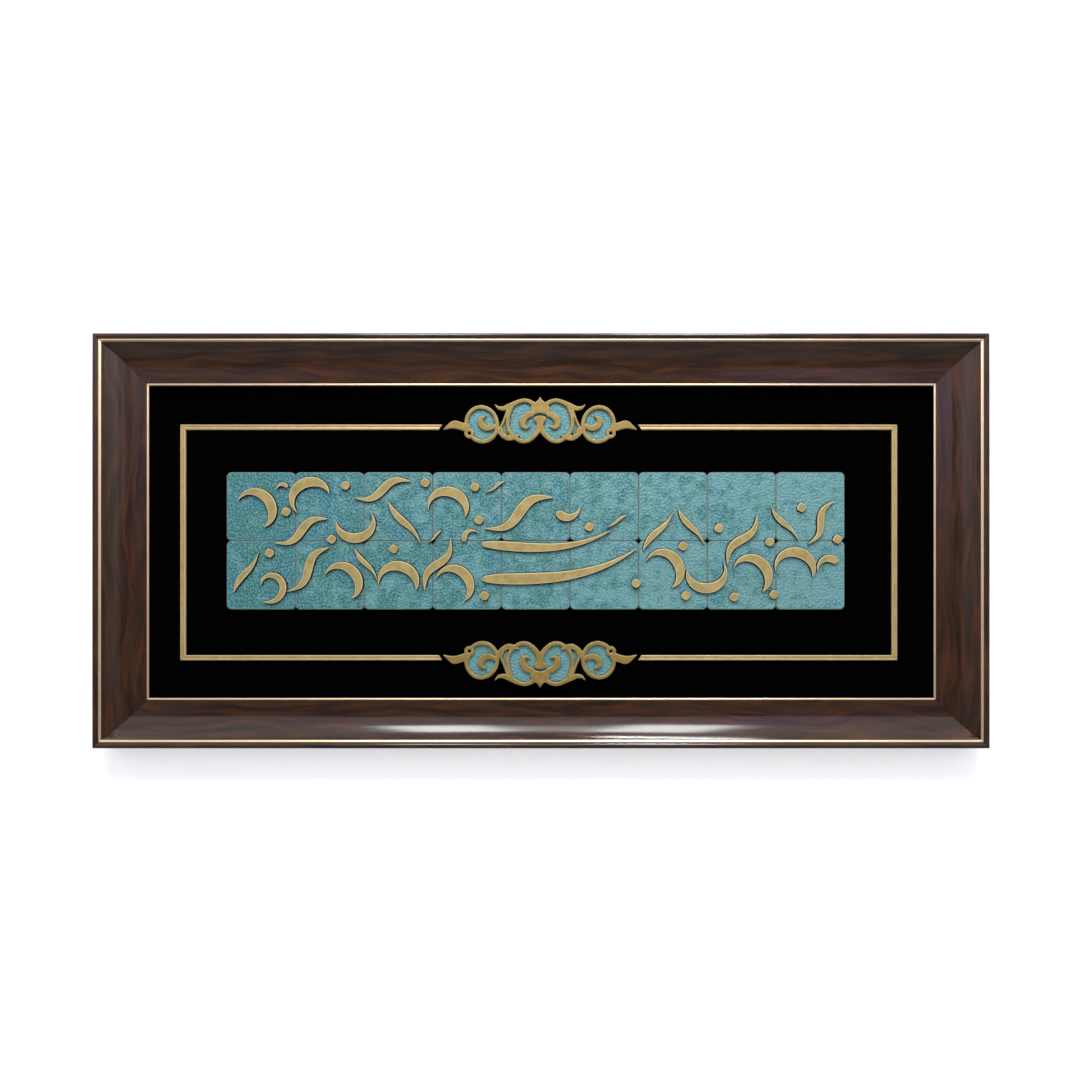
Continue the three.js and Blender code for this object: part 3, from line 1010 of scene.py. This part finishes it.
def polygon_distance(x: np.ndarray, y: np.ndarray, outline: np.ndarray) -> np.ndarray:
    """Signed distance inside a closed outline.

    The size is the least distance to its sides, and the sign comes from counting the sides that
    cross a ray along x.

    Args:
        x: Grid of places along x.
        y: Grid of places along y.
        outline: One row a point.

    Returns:
        The distance, positive inside.
    """
    least = np.full(x.shape, 1e3)
    odd = np.zeros(x.shape, bool)
    for (x0, y0), (x1, y1) in zip(outline, np.roll(outline, -1, axis=0)):
        dx, dy = x1 - x0, y1 - y0
        share = np.clip(((x - x0) * dx + (y - y0) * dy) / max(dx * dx + dy * dy, 1e-9), 0, 1)
        np.minimum(least, np.hypot(x - x0 - share * dx, y - y0 - share * dy), out=least)
        if dy:
            odd ^= ((y0 > y) != (y1 > y)) & (x < x0 + (y - y0) * dx / dy)
    return np.where(odd, least, -least)


def oval_distance(
    x: np.ndarray, y: np.ndarray, cx: float, cy: float, rx: float, ry: float, tilt: float
) -> np.ndarray:
    """Signed distance inside an oval, near its edge.

    The implicit function 1 - (u/rx)^2 - (v/ry)^2 is divided by the size of its own slope.

    Args:
        x: Grid of places along x.
        y: Grid of places along y.
        cx: Centre along x.
        cy: Centre along y.
        rx: First radius.
        ry: Second radius.
        tilt: Turn in radians.

    Returns:
        The distance, positive inside.
    """
    c, s = math.cos(tilt), math.sin(tilt)
    u, v = (x - cx) * c + (y - cy) * s, (y - cy) * c - (x - cx) * s
    radius = np.hypot(u / rx, v / ry)
    slope = np.hypot(u / rx**2, v / ry**2) / np.maximum(radius, 1e-6)
    return (1 - radius) / np.maximum(slope, 1e-6)


@dataclass
class ScrollOrnament:
    """Gilt scroll over a turquoise ground, drawn about its own centre as its left half."""

    ring: tuple[float, float, float, float] = (-85.0, 3.4, 25.0, 27.8)
    ring_tilt: float = 0.22
    ring_band: float = 5.0
    eyelet: tuple[float, float, float, float] = (-103.2, -9.8, 7.1, 2.6)
    bands: dict[str, list[Station]] = field(
        default_factory=lambda: {
            "end_leaf": [
                (-108, -1.5, 5.5), (-118, 1.5, 5.4), (-125, 3, 5.6), (-133, 0, 3), (-140.9, -4.4, 0.3),
            ],
            "small_curl": [
                (-62, 3, 2.2), (-70, -1.2, 3.2), (-77.5, -2.2, 4), (-84.4, 1.5, 4.3), (-87, 8, 3.8),
                (-84.2, 12.6, 2.4), (-78.5, 15.4, 0.3),
            ],
            "wing": [
                (-65.8, 32.2, 0.3), (-60.5, 27.4, 2), (-53, 26.6, 3.1), (-45.5, 29.5, 3.6), (-38.5, 33, 3.2),
                (-30, 36.8, 2.7), (-22.5, 38.3, 2.5), (-15, 36.4, 2.7), (-7, 31, 3.4),
            ],
            "lobe": [
                (0, -0.5, 4), (-5, -9, 3.3), (-11.5, -16.2, 2.9), (-19, -20.8, 2.6), (-27, -21.3, 2.5),
                (-35.5, -17.2, 2.5), (-43, -9.8, 2.5), (-47, 0, 2.5), (-47.3, 8, 2.4), (-45.3, 18, 2.3),
                (-41, 29, 2.3),
            ],
            "centre_curl": [
                (-11.5, 19, 3.6), (-19.5, 15.5, 4.2), (-25, 9, 4.5), (-25, 2, 3.6), (-20.5, -1.6, 2.2),
                (-14, 0.4, 0.3),
            ],
            "foot_leaf": [
                (-60, -7.5, 2.6), (-54, -13, 3.2), (-46.5, -16.4, 3.7), (-38, -15.6, 3), (-29.8, -13, 0.3),
            ],
            "strut": [(-47.6, 24, 1.6), (-52.8, 9, 1.6), (-59.4, -5, 1.8)],
            "neck": [(-64, -9, 0.6), (-61.5, -6.5, 3.4), (-57, -5, 3.2), (-53.5, -11, 0.6)],
        }
    )
    keystone: tuple[Station, ...] = (
        (0, 43.4), (-3, 38.6), (-7.3, 35.1), (-11.8, 31.5), (-13.8, 26.4), (-13.6, 19), (-12.4, 13.7),
        (-7.5, 18), (0, 20.1),
    )
    stem: tuple[Station, ...] = (
        (0, 15.9), (-5, 15), (-9, 12.4), (-8.2, 8.6), (-5.4, 5.4), (-4.6, 2), (-5.4, -3), (0, -5.5),
    )
    sliver: tuple[Station, ...] = (
        (-64, -8), (-60.5, -2), (-49.5, 18), (-44, 22), (-46, -6), (-50, -13), (-60, -11),
    )
    ground_inset: float = 0.9
    ground: tuple[float, float] = (9.0, 12.8)
    scroll: tuple[float, float] = (12.4, 17.3)
    rim: float = 0.9
    # The walls run out by the foot, so that their painted shade shows along the scroll.
    foot: float = 0.7
    shift: float = -2.0
    scroll_sheet: Sheet = field(default_factory=lambda: Sheet(144, 46, 0.6))
    ground_sheet: Sheet = field(default_factory=lambda: Sheet(142, 44, 0.8))

    @staticmethod
    def closed(half: np.ndarray) -> np.ndarray:
        """A half outline from the middle line to the middle line, closed by its mirror image."""
        return np.vstack([half, (half * [-1, 1])[::-1][1:-1]])

    def _ring(self, x: np.ndarray, y: np.ndarray, inset: float) -> np.ndarray:
        """Signed distance inside the side ring's oval, drawn in by an inset."""
        cx, cy, rx, ry = self.ring
        return oval_distance(x, y, cx, cy, rx - inset, ry - inset, self.ring_tilt)

    def _hole(self, x: np.ndarray, y: np.ndarray) -> np.ndarray:
        """Signed distance outside the eyelet's hole."""
        ex, ey, _, hole = self.eyelet
        return np.hypot(x - ex, y - ey) - hole

    def scroll_distance(self) -> np.ndarray:
        """Signed distance inside the scroll: the largest of its parts, less the eyelet's hole."""
        x, y = self.scroll_sheet.grid()
        x = -np.abs(x)
        ex, ey, radius, _ = self.eyelet
        ring = np.minimum(self._ring(x, y, 0), -self._ring(x, y, self.ring_band))
        parts = [ring, radius - np.hypot(x - ex, y - ey)]
        parts += [band_distance(x, y, np.array(stations)) for stations in self.bands.values()]
        for half in (self.keystone, self.stem):
            smooth = catmull_rom(np.array(half, float), 6)
            parts.append(polygon_distance(x, y, self.closed(smooth)))
        return np.minimum(np.max(parts, axis=0), self._hole(x, y))

    def ground_distance(self) -> np.ndarray:
        """Signed distance inside the ground, a little inside the scroll's outer edge."""
        x, y = self.ground_sheet.grid()
        x = -np.abs(x)
        lobe, wing = np.array(self.bands["lobe"]), np.array(self.bands["wing"])
        middle = self.closed(np.vstack([[[0, -7]], lobe[1:-1, :2], wing[4:, :2], [[0, 39]]]))
        parts = [self._ring(x, y, self.ground_inset)]
        parts += [polygon_distance(x, y, outline) for outline in (middle, np.array(self.sliver, float))]
        for band in ("end_leaf", "foot_leaf"):
            stations = np.array(self.bands[band], float)
            stations[:, 2] = np.maximum(stations[:, 2] - 2 * self.ground_inset, 0.2)
            parts.append(band_distance(x, y, stations))
        return np.minimum(np.max(parts, axis=0), self._hole(x, y))

    def build(self, gilt: bpy.types.Material, patina: bpy.types.Material) -> None:
        """Makes the upper and the lower ornament. The lower one is the upper one turned half round.

        Args:
            gilt: Finish of the scroll.
            patina: Finish of the ground.
        """
        # The scroll's edge band of 1.7 carries wear and painted highlight, and its walls carry painted shade.
        scroll = plate(self.scroll_sheet, self.scroll_distance(), *self.scroll, self.rim, 1.7, self.foot)
        inside = self.ground_distance()
        relief = worm_relief(inside.shape, self.ground_sheet.spacing, 4.6, 0.8, 1.5, 41)
        ground = plate(self.ground_sheet, inside, *self.ground, 0.6, 0.6, 0.0, relief, 0.5)
        ground.values["tone"] = 1.0
        for name, turn in (("top", 0), ("bottom", 180)):
            low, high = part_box(f"scroll_{name}")
            y = (low.z + high.z) / 2 / MM
            # The node's box isn't centred on the ornament's own centre line, which is the border's.
            y = math.copysign(168.65, y)
            scroll.placed(self.shift, y, 0, turn).to_object(
                f"gilt_scroll_{name}", [gilt], "gilt_trim", [f"scroll_{name}"]
            )
            ground.placed(self.shift, y, 0, turn).to_object(
                f"patina_ground_{name}", [patina], "turquoise_ground", [f"ground_{name}"]
            )


# Tile field


@dataclass
class TileField:
    """Two courses of nine square tiles with a stippled relief."""

    columns: int = 9
    rows: int = 2
    pitch: float = 100.0
    joint: float = 0.12
    corner: float = 7.0
    rim: float = 0.8
    band: float = 3.2
    bottom: float = 9.0
    top: float = 17.3
    wavelength: float = 5.0
    relief_height: float = 0.5

    def outline(self, sheet: Sheet) -> np.ndarray:
        """Signed distance inside a square with rounded corners."""
        x, y = sheet.grid()
        inner = (self.pitch - self.joint) / 2 - self.corner
        dx, dy = np.abs(x) - inner, np.abs(y) - inner
        outside = np.hypot(np.maximum(dx, 0), np.maximum(dy, 0))
        return self.corner - outside - np.minimum(np.maximum(dx, dy), 0)

    def build(self, patina: bpy.types.Material) -> None:
        """Makes the tiles, each with its own part of one wide relief.

        Args:
            patina: Their finish.
        """
        half = (self.pitch - self.joint) / 2
        sheet = Sheet(half, half, half / 60)
        inside = self.outline(sheet)
        side = len(inside)
        field_size = (side * self.columns, side * self.rows)
        relief = worm_relief(field_size, sheet.spacing, self.wavelength, 0.8, 1.5, 7)
        tones = np.random.default_rng(3).uniform(-0.2, 0.2, (self.rows, self.columns))
        tones += np.linspace(0, 0.8, self.columns)
        for row in range(self.rows):
            for column in range(self.columns):
                node = f"tile_{row + 1}_{column + 1}"
                low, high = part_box(node)
                own = relief[column * side : (column + 1) * side, row * side : (row + 1) * side]
                form = plate(
                    sheet, inside, self.bottom, self.top, self.rim, self.band,
                    relief=own, relief_height=self.relief_height, one_outline=True,
                )
                form.values["tone"] = tones[row, column]
                centre = (low + high) / 2 / MM
                form.placed(centre.x, centre.z, 0).to_object(
                    f"patina_{node}", [patina], "turquoise_tile", [node], sharp=60
                )


# Relief strokes


def swell(t: np.ndarray, lean: float) -> np.ndarray:
    """A hump that starts and ends at nothing: sine of pi times t to the power lean."""
    return np.sin(np.pi * t**lean)


@dataclass
class StrokeSet:
    """Shallow gilt strokes: flat faces, rounded rims with painted highlight and wear, and dark sides of
    painted shade.
    """

    bottom: float = 16.7
    top: float = 21.6
    rim: float = 0.8
    band: float = 0.9
    # The walls run out by the foot, so that their painted shade shows round each stroke as a dark outline.
    foot: float = 1.3
    ground: float = 17.2
    tip: float = 0.012
    steps: int = 64
    field_centre: tuple[float, float] = (-8.5, 2.0)

    def build(self, gold: bpy.types.Material) -> None:
        """Makes each stroke from its form, place, size, turn and hand.

        Args:
            gold: Their finish.
        """
        for number, row in enumerate(STROKES, 1):
            node = f"stroke_{number:02d}"
            self.stroke(*row).to_object(f"gold_{node}", [gold], "gilt_stroke", [node])
        for number, row in enumerate(SMALL_STROKES, 1):
            self.stroke(*row).to_object(f"gold_small_{number:02d}", [gold], "gilt_stroke", [])

    def stroke(self, form: StrokeForm, x: float, y: float, size: float, turn: float, hand: int) -> Form:
        """Carries a section with sloping sides and rounded rims along the form's centre line.

        A point is the centre line's point plus the unit normal times its offset: the half width
        plus the foot at the ground, the half width at the arris, less the quarter round's inset
        above it.

        Args:
            form: Which form.
            x: Centre along x from the middle of the tile field.
            y: Centre along y.
            size: Size of the form.
            turn: Turn in degrees.
            hand: 1 or -1 for plain or mirrored.

        Returns:
            The form.
        """
        t = np.linspace(0, 1, self.steps + 1)
        cx, cy, half = (c * size for c in form.value(t, self.tip))
        cx = cx * hand
        dx, dy = np.gradient(cx), np.gradient(cy)
        run = np.hypot(dx, dy)
        nx, ny = dy / run, -dx / run
        rim = np.minimum(self.rim, half * 0.6)
        foot = self.foot * np.minimum(half / 1.5, 1)
        angle = np.radians(np.linspace(0, 90, 5))
        level = np.ones_like(half)
        # From the right wall's foot over the arris to the inner edge of the band of painted highlight and
        # wear.
        offset = [half + foot, half + foot, *(half - rim * (1 - c) for c in np.cos(angle))]
        offset = np.stack([*offset, half - rim - np.minimum(self.band, half * 0.3)])
        heights = [self.bottom * level, self.ground * level]
        height = np.stack([*heights, *(self.top - rim * (1 - s) for s in np.sin(angle)), self.top * level])
        # Rim values carry the painted highlight and wear; side values carry the painted shade of the walls.
        wear_and_highlight = np.array([0, 0, 0.7, 1, 1, 1, 1, 0])[:, None] * level
        side = np.array([1, 1, 0.7, 0.2, 0, 0, 0, 0])[:, None] * level
        offset = np.vstack([offset, -offset[::-1]])
        height, wear_and_highlight, side = (np.vstack([a, a[::-1]]) for a in (height, wear_and_highlight, side))
        count = len(offset)
        points = np.stack([cx + nx * offset, cy + ny * offset, height], -1).transpose(1, 0, 2)
        ring = np.arange(count)
        after = np.roll(ring, -1)
        row = np.arange(self.steps)[:, None] * count
        quads = np.stack(
            [row + ring, row + count + ring, row + count + after, row + after], -1
        ).reshape(-1, 4)
        ends = [ring[None], (ring[::-1] + self.steps * count)[None]]
        values = {"rim": wear_and_highlight.T.ravel(), "side": side.T.ravel()}
        made = Form(points.reshape(-1, 3), [quads, *ends], values=values)
        fx, fy = self.field_centre
        return made.placed(fx + x, fy + y, 0, turn)


def sickle(t: np.ndarray, tip: float) -> tuple[np.ndarray, np.ndarray, np.ndarray]:
    """Part of a circle, thick in the middle and drawn out at one end."""
    angle = 3.7 * (t - 0.44)
    return np.sin(angle), -0.9 * np.cos(angle), 0.25 * swell(t, 0.84) ** 1.2 + tip


def swash(t: np.ndarray, tip: float) -> tuple[np.ndarray, np.ndarray, np.ndarray]:
    """Long shallow bow, full near its start."""
    x = 2 * t - 1
    return x, 0.16 * x**2 + 0.07 * x**3, 0.068 * swell(t, 0.52) ** 0.8 + tip / 3


def reed(t: np.ndarray, tip: float) -> tuple[np.ndarray, np.ndarray, np.ndarray]:
    """Slender leaf with a slight double bend."""
    x = 2 * t - 1
    return x, 0.07 * np.sin(np.pi * x), 0.115 * swell(t, 1.35) + tip


def wave(t: np.ndarray, tip: float) -> tuple[np.ndarray, np.ndarray, np.ndarray]:
    """Double bend."""
    x = 2 * t - 1
    return x, 0.17 * np.sin(1.05 * np.pi * x), 0.13 * swell(t, 1.1) + tip


def comma(t: np.ndarray, tip: float) -> tuple[np.ndarray, np.ndarray, np.ndarray]:
    """Full head and a curled tail."""
    radius = 0.62 + 0.38 * t
    return radius * np.cos(2.7 * t), radius * np.sin(2.7 * t), 0.28 * swell(t, 0.5) + tip


def volute(t: np.ndarray, tip: float) -> tuple[np.ndarray, np.ndarray, np.ndarray]:
    """Curl that winds inwards."""
    radius = 1 - 0.5 * t
    return radius * np.cos(5 * t), radius * np.sin(5 * t), 0.19 * swell(t, 0.75) + tip


def lozenge(t: np.ndarray, tip: float) -> tuple[np.ndarray, np.ndarray, np.ndarray]:
    """Rounded lozenge: half width (1 - |x|^1.45)^(1 / 1.45), with x crowded towards the ends."""
    x = np.sin((t - 0.5) * np.pi)
    return x, 0 * x, 0.92 * (1 - np.abs(x) ** 1.45) ** (1 / 1.45) + tip


class StrokeForm(Enum):
    """The forms of the strokes. Each gives centre line and half width in units of the size."""

    SICKLE = member(sickle)
    SWASH = member(swash)
    REED = member(reed)
    WAVE = member(wave)
    COMMA = member(comma)
    VOLUTE = member(volute)
    LOZENGE = member(lozenge)


# Form, centre x and y from the middle of the tile field, size, turn in degrees and hand
STROKES = (
    (StrokeForm.SICKLE, -408, 44, 28, 124, 1),
    (StrokeForm.SICKLE, -326, 60, 28, 200, 1),
    (StrokeForm.WAVE, -340, 14, 42, 26, 1),
    (StrokeForm.SICKLE, -262, 28, 27, 4, 1),
    (StrokeForm.WAVE, -222, 74, 42, 18, 1),
    (StrokeForm.REED, -190, 26, 38, 128, 1),
    (StrokeForm.SICKLE, -128, 46, 28, 158, 1),
    (StrokeForm.REED, -420, -46, 34, 58, -1),
    (StrokeForm.VOLUTE, -386, -66, 24, 250, 1),
    (StrokeForm.WAVE, -330, -42, 44, 48, 1),
    (StrokeForm.SICKLE, -282, -62, 27, 128, 1),
    (StrokeForm.REED, -246, -34, 28, 126, 1),
    (StrokeForm.SICKLE, -200, -62, 28, 160, 1),
    (StrokeForm.WAVE, -142, -34, 42, 62, -1),
    (StrokeForm.SICKLE, -120, -66, 27, 130, 1),
    (StrokeForm.WAVE, -24, 40, 54, 26, 1),
    (StrokeForm.SWASH, 16, -10, 94, 2, 1),
    (StrokeForm.SWASH, 36, -52, 114, 7, 1),
    (StrokeForm.REED, 178, 14, 36, 52, -1),
    (StrokeForm.SICKLE, 184, -44, 28, 122, 1),
    (StrokeForm.REED, 226, 20, 32, 126, 1),
    (StrokeForm.SICKLE, 248, -44, 28, 0, 1),
    (StrokeForm.WAVE, 300, 2, 42, 58, -1),
    (StrokeForm.SICKLE, 312, -52, 28, 130, 1),
    (StrokeForm.REED, 362, 24, 30, 130, 1),
    (StrokeForm.SICKLE, 376, -42, 28, 160, 1),
    (StrokeForm.WAVE, 414, 26, 36, 60, 1),
)
SMALL_STROKES = (
    (StrokeForm.COMMA, 44, 50, 21, 210, 1),
    (StrokeForm.COMMA, 428, -40, 19, 40, 1),
    (StrokeForm.COMMA, -94, 2, 14, 20, -1),
    (StrokeForm.REED, 118, 28, 17, 30, 1),
    (StrokeForm.REED, -146, 6, 14, 40, 1),
    (StrokeForm.REED, -58, 78, 16, 30, 1),
    (StrokeForm.COMMA, -366, 74, 10, 30, 1),
    (StrokeForm.LOZENGE, -362, 42, 7, 14, 1),
    (StrokeForm.LOZENGE, -296, 2, 7, 10, 1),
    (StrokeForm.LOZENGE, -276, 80, 7, 16, 1),
    (StrokeForm.LOZENGE, -160, 84, 7, 12, 1),
    (StrokeForm.LOZENGE, -88, 78, 7, 18, 1),
    (StrokeForm.LOZENGE, -386, -18, 7, 12, 1),
    (StrokeForm.LOZENGE, -206, -12, 7, 15, 1),
    (StrokeForm.LOZENGE, -82, 30, 7, 14, 1),
    (StrokeForm.LOZENGE, -74, -80, 7, 12, 1),
    (StrokeForm.LOZENGE, 78, 20, 7, 16, 1),
    (StrokeForm.LOZENGE, 146, -62, 7, 12, 1),
    (StrokeForm.LOZENGE, 218, -80, 7, 12, 1),
    (StrokeForm.LOZENGE, 288, -82, 7, 18, 1),
    (StrokeForm.LOZENGE, 346, -78, 7, 14, 1),
    (StrokeForm.LOZENGE, 438, 2, 7, 12, 1),
    (StrokeForm.LOZENGE, 266, 18, 7, 15, 1),
    (StrokeForm.LOZENGE, 386, 48, 7, 12, 1),
    (StrokeForm.LOZENGE, 214, -8, 7, 12, 1),
    (StrokeForm.LOZENGE, 340, -2, 7, 12, 1),
)


# Studio


@dataclass
class Studio:
    """Camera, pale wall, pale floor and soft lights. None of it is part of the panel."""

    camera_place: tuple[float, float, float] = (0.0256, -1.169, -0.0842)
    lens: float = 26.37
    shift: tuple[float, float] = (-0.0176, 0.0556)
    wall_reach: float = 4.0
    wall_gap: float = 0.001
    floor_level: float = -1.25
    white: Colour = (0.92, 0.92, 0.92)
    dim: Colour = (0.12, 0.12, 0.12)
    pale: Colour = (1.0, 1.0, 1.02)
    lilac: Colour = (1.1, 0.85, 1.3)

    def camera(self) -> None:
        """Puts the camera where the photograph's perspective has it, looking straight at the wall."""
        data = bpy.data.cameras.new("camera")
        data.lens = self.lens
        data.shift_x, data.shift_y = self.shift
        made = bpy.data.objects.new("camera", data)
        made.location = self.camera_place
        made.rotation_euler = (math.pi / 2, 0, 0)
        bpy.context.scene.collection.objects.link(made)
        bpy.context.scene.camera = made

    def plane(self, name: str, points: list[tuple], faces: list[tuple], glow: float) -> bpy.types.Object:
        """Makes one flat pale stage object with a matt finish, see-through from behind.

        Args:
            name: Its name.
            points: Its corners.
            faces: Its faces.
            glow: Light that it gives of itself.

        Returns:
            The object.
        """
        finish = Finish(name)
        finish.set(
            Base_Color=self.white, Roughness=1.0, Specular_IOR_Level=0.0,
            Emission_Color=self.white, Emission_Strength=glow,
        )
        behind = finish.node("ShaderNodeNewGeometry", {}, {}).outputs["Backfacing"]
        clear = finish.node("ShaderNodeBsdfTransparent", {}, {})
        both = finish.node(
            "ShaderNodeMixShader", {}, {0: behind, 1: finish.shader.outputs[0], 2: clear.outputs[0]}
        )
        output = finish.tree.nodes["Material Output"]
        finish.feed(output.inputs["Surface"], both.outputs[0])
        mesh = bpy.data.meshes.new(name)
        mesh.from_pydata(points, [], faces)
        mesh.materials.append(finish.material)
        made = bpy.data.objects.new(name, mesh)
        bpy.context.scene.collection.objects.link(made)
        return made

    def wall(self) -> None:
        """Makes the wall just behind the panel, open where the panel hides it, so its back is lit."""
        low, high = CAD_BOX
        reach, y, hem = self.wall_reach, self.wall_gap, 0.001
        outer = [(-reach, self.floor_level), (reach, self.floor_level), (reach, reach), (-reach, reach)]
        inner = [
            (low.x + hem, low.z + hem), (high.x - hem, low.z + hem),
            (high.x - hem, high.z - hem), (low.x + hem, high.z - hem),
        ]
        points = [(x, y, z) for x, z in outer + inner]
        faces = [(k, (k + 1) % 4, (k + 1) % 4 + 4, k + 4) for k in range(4)]
        wall = self.plane("pale_wall", points, faces, 0.28)
        wall.visible_glossy = False

    def floor(self) -> None:
        """Makes the floor, out of the photograph's view."""
        reach, z = self.wall_reach, self.floor_level
        points = [(-reach, -reach, z), (reach, -reach, z), (reach, reach, z), (-reach, reach, z)]
        floor = self.plane("pale_floor", points, [(0, 1, 2, 3)], 0.0)
        floor.visible_glossy = False

    def light(
        self,
        name: str,
        place: tuple[float, float, float],
        target: tuple[float, float, float],
        size: tuple[float, float],
        radiance: float,
        spread: float = 180,
    ) -> None:
        """Makes a soft rectangular light. Its power is pi times its area times its radiance.

        Args:
            name: Its name.
            place: Its middle.
            target: What it faces.
            size: Its width and height.
            radiance: Its brightness.
            spread: Its beam in degrees.
        """
        data = bpy.data.lights.new(name, "AREA")
        data.shape = "RECTANGLE"
        data.size, data.size_y = size
        data.energy = math.pi * size[0] * size[1] * radiance
        data.spread = math.radians(spread)
        made = bpy.data.objects.new(name, data)
        made.location = place
        made.rotation_euler = (Vector(target) - Vector(place)).to_track_quat("-Z", "Y").to_euler()
        made.visible_camera = False
        bpy.context.scene.collection.objects.link(made)

    def lights(self) -> None:
        """Makes the lights: two overhead strips, a weak one between, a thin one near, one behind."""
        self.light("right_strip", (0.4, -0.98, 1.13), (0.1, 0, -0.2), (0.38, 0.66), 18.0)
        self.light("left_strip", (-0.37, -0.98, 1.13), (-0.1, 0, -0.2), (0.37, 0.56), 18.0)
        self.light("middle_strip", (0.02, -0.98, 1.13), (0.0, 0, -0.2), (0.38, 0.5), 3.0)
        self.light("near_strip", (0.39, -0.125, 0.95), (0.36, -0.04, -0.27), (0.5, 0.03), 7.0, 40)
        self.light("back_panel", (0.3, 2.4, 1.2), (0.0, 0, 0.0), (2.4, 1.6), 2.5)

    def world(self) -> None:
        """White to the eye, and a plain room to the lacquer, given by a direction's rise and bearing.

        The room has a pale ceiling, grey side walls, two lilac glows beside the middle, a dim
        front and a dim floor.
        """
        world = bpy.data.worlds.new("studio_air")
        world.use_nodes = True
        air = Nodes(world.node_tree)
        way = air.node("ShaderNodeTexCoord", {}, {}).outputs["Generated"]
        split = air.node("ShaderNodeSeparateXYZ", {}, {0: way}).outputs
        rise = air.value(split[2]).arcsine()
        bearing = air.value(split[0]).bearing(0 - air.value(split[1]))
        off = abs(bearing)
        ceiling = rise.ramp(7, 26) * (1 - 0.7 * rise.ramp(50, 85))
        sides = off.ramp(26, 30) * (1 - 0.8 * off.ramp(32, 80)) * rise.ramp(-14, 20)
        floor = 0.25 * (1 - rise.ramp(-50, -20))
        right = bearing.ramp(10, 14) * (1 - bearing.ramp(20, 26)) * rise.ramp(1, 13)
        left = bearing.ramp(-31, -26) * (1 - bearing.ramp(-18, -12)) * rise.ramp(1, 13)
        tone = air.mix((ceiling + sides + floor).clamped(), self.dim, self.pale)
        tone = air.mix(right * 0.9 + left * 0.4, tone, self.lilac)
        room = air.node("ShaderNodeBackground", {}, {"Color": tone, "Strength": 1.0})
        seen = air.node("ShaderNodeBackground", {}, {"Color": self.white})
        eye = air.node("ShaderNodeLightPath", {}, {}).outputs["Is Camera Ray"]
        both = air.node("ShaderNodeMixShader", {}, {0: eye, 1: room.outputs[0], 2: seen.outputs[0]})
        air.feed(world.node_tree.nodes["World Output"].inputs["Surface"], both.outputs[0])
        bpy.context.scene.world = world

    def build(self) -> None:
        """Makes the whole studio."""
        bpy.context.scene.view_settings.view_transform = "Standard"
        self.camera()
        self.world()
        self.wall()
        self.floor()
        self.lights()


def dress_board(velvet: bpy.types.Material) -> None:
    """Gives the backing board, whose solid is kept as it is, its finish."""
    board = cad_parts["backing_board"]
    board.data.materials.clear()
    board.data.materials.append(velvet)
    LOG.info("backing_board: CAD solid kept")


def main() -> None:
    """Builds the studio and each piece of the panel in turn."""
    logging.basicConfig(level=logging.INFO, format="%(name)s: %(message)s")
    Studio().build()
    # Gilt finishes: gold, the pale colour of wear and painted highlight, the dark colour of painted shade on
    # the sides, metallic and roughness.
    bead = Gilding(GiltKind.BEAD, (0.95, 0.74, 0.5), (0.88, 0.68, 0.44), (0, 0, 0), 0.9, 0.4).build()
    strip = Gilding(
        GiltKind.STRIP, srgb(158, 136, 85), srgb(199, 177, 130), srgb(58, 44, 18), 0.3, 0.42
    ).build()
    scroll = Gilding(
        GiltKind.SCROLL, srgb(137, 112, 50), srgb(164, 150, 102), srgb(40, 30, 10), 0.3, 0.42
    ).build()
    patina = TurquoisePatina().build()
    velvet = BoardFinish().build()
    Moulding().build([WalnutLacquer().build(), bead, BareTimber().build(), velvet])
    dress_board(velvet)
    Border().build(strip)
    ScrollOrnament().build(scroll, patina)
    TileField().build(patina)
    StrokeSet().build(StrokeGold().build())


if __name__ == "__main__":
    main()
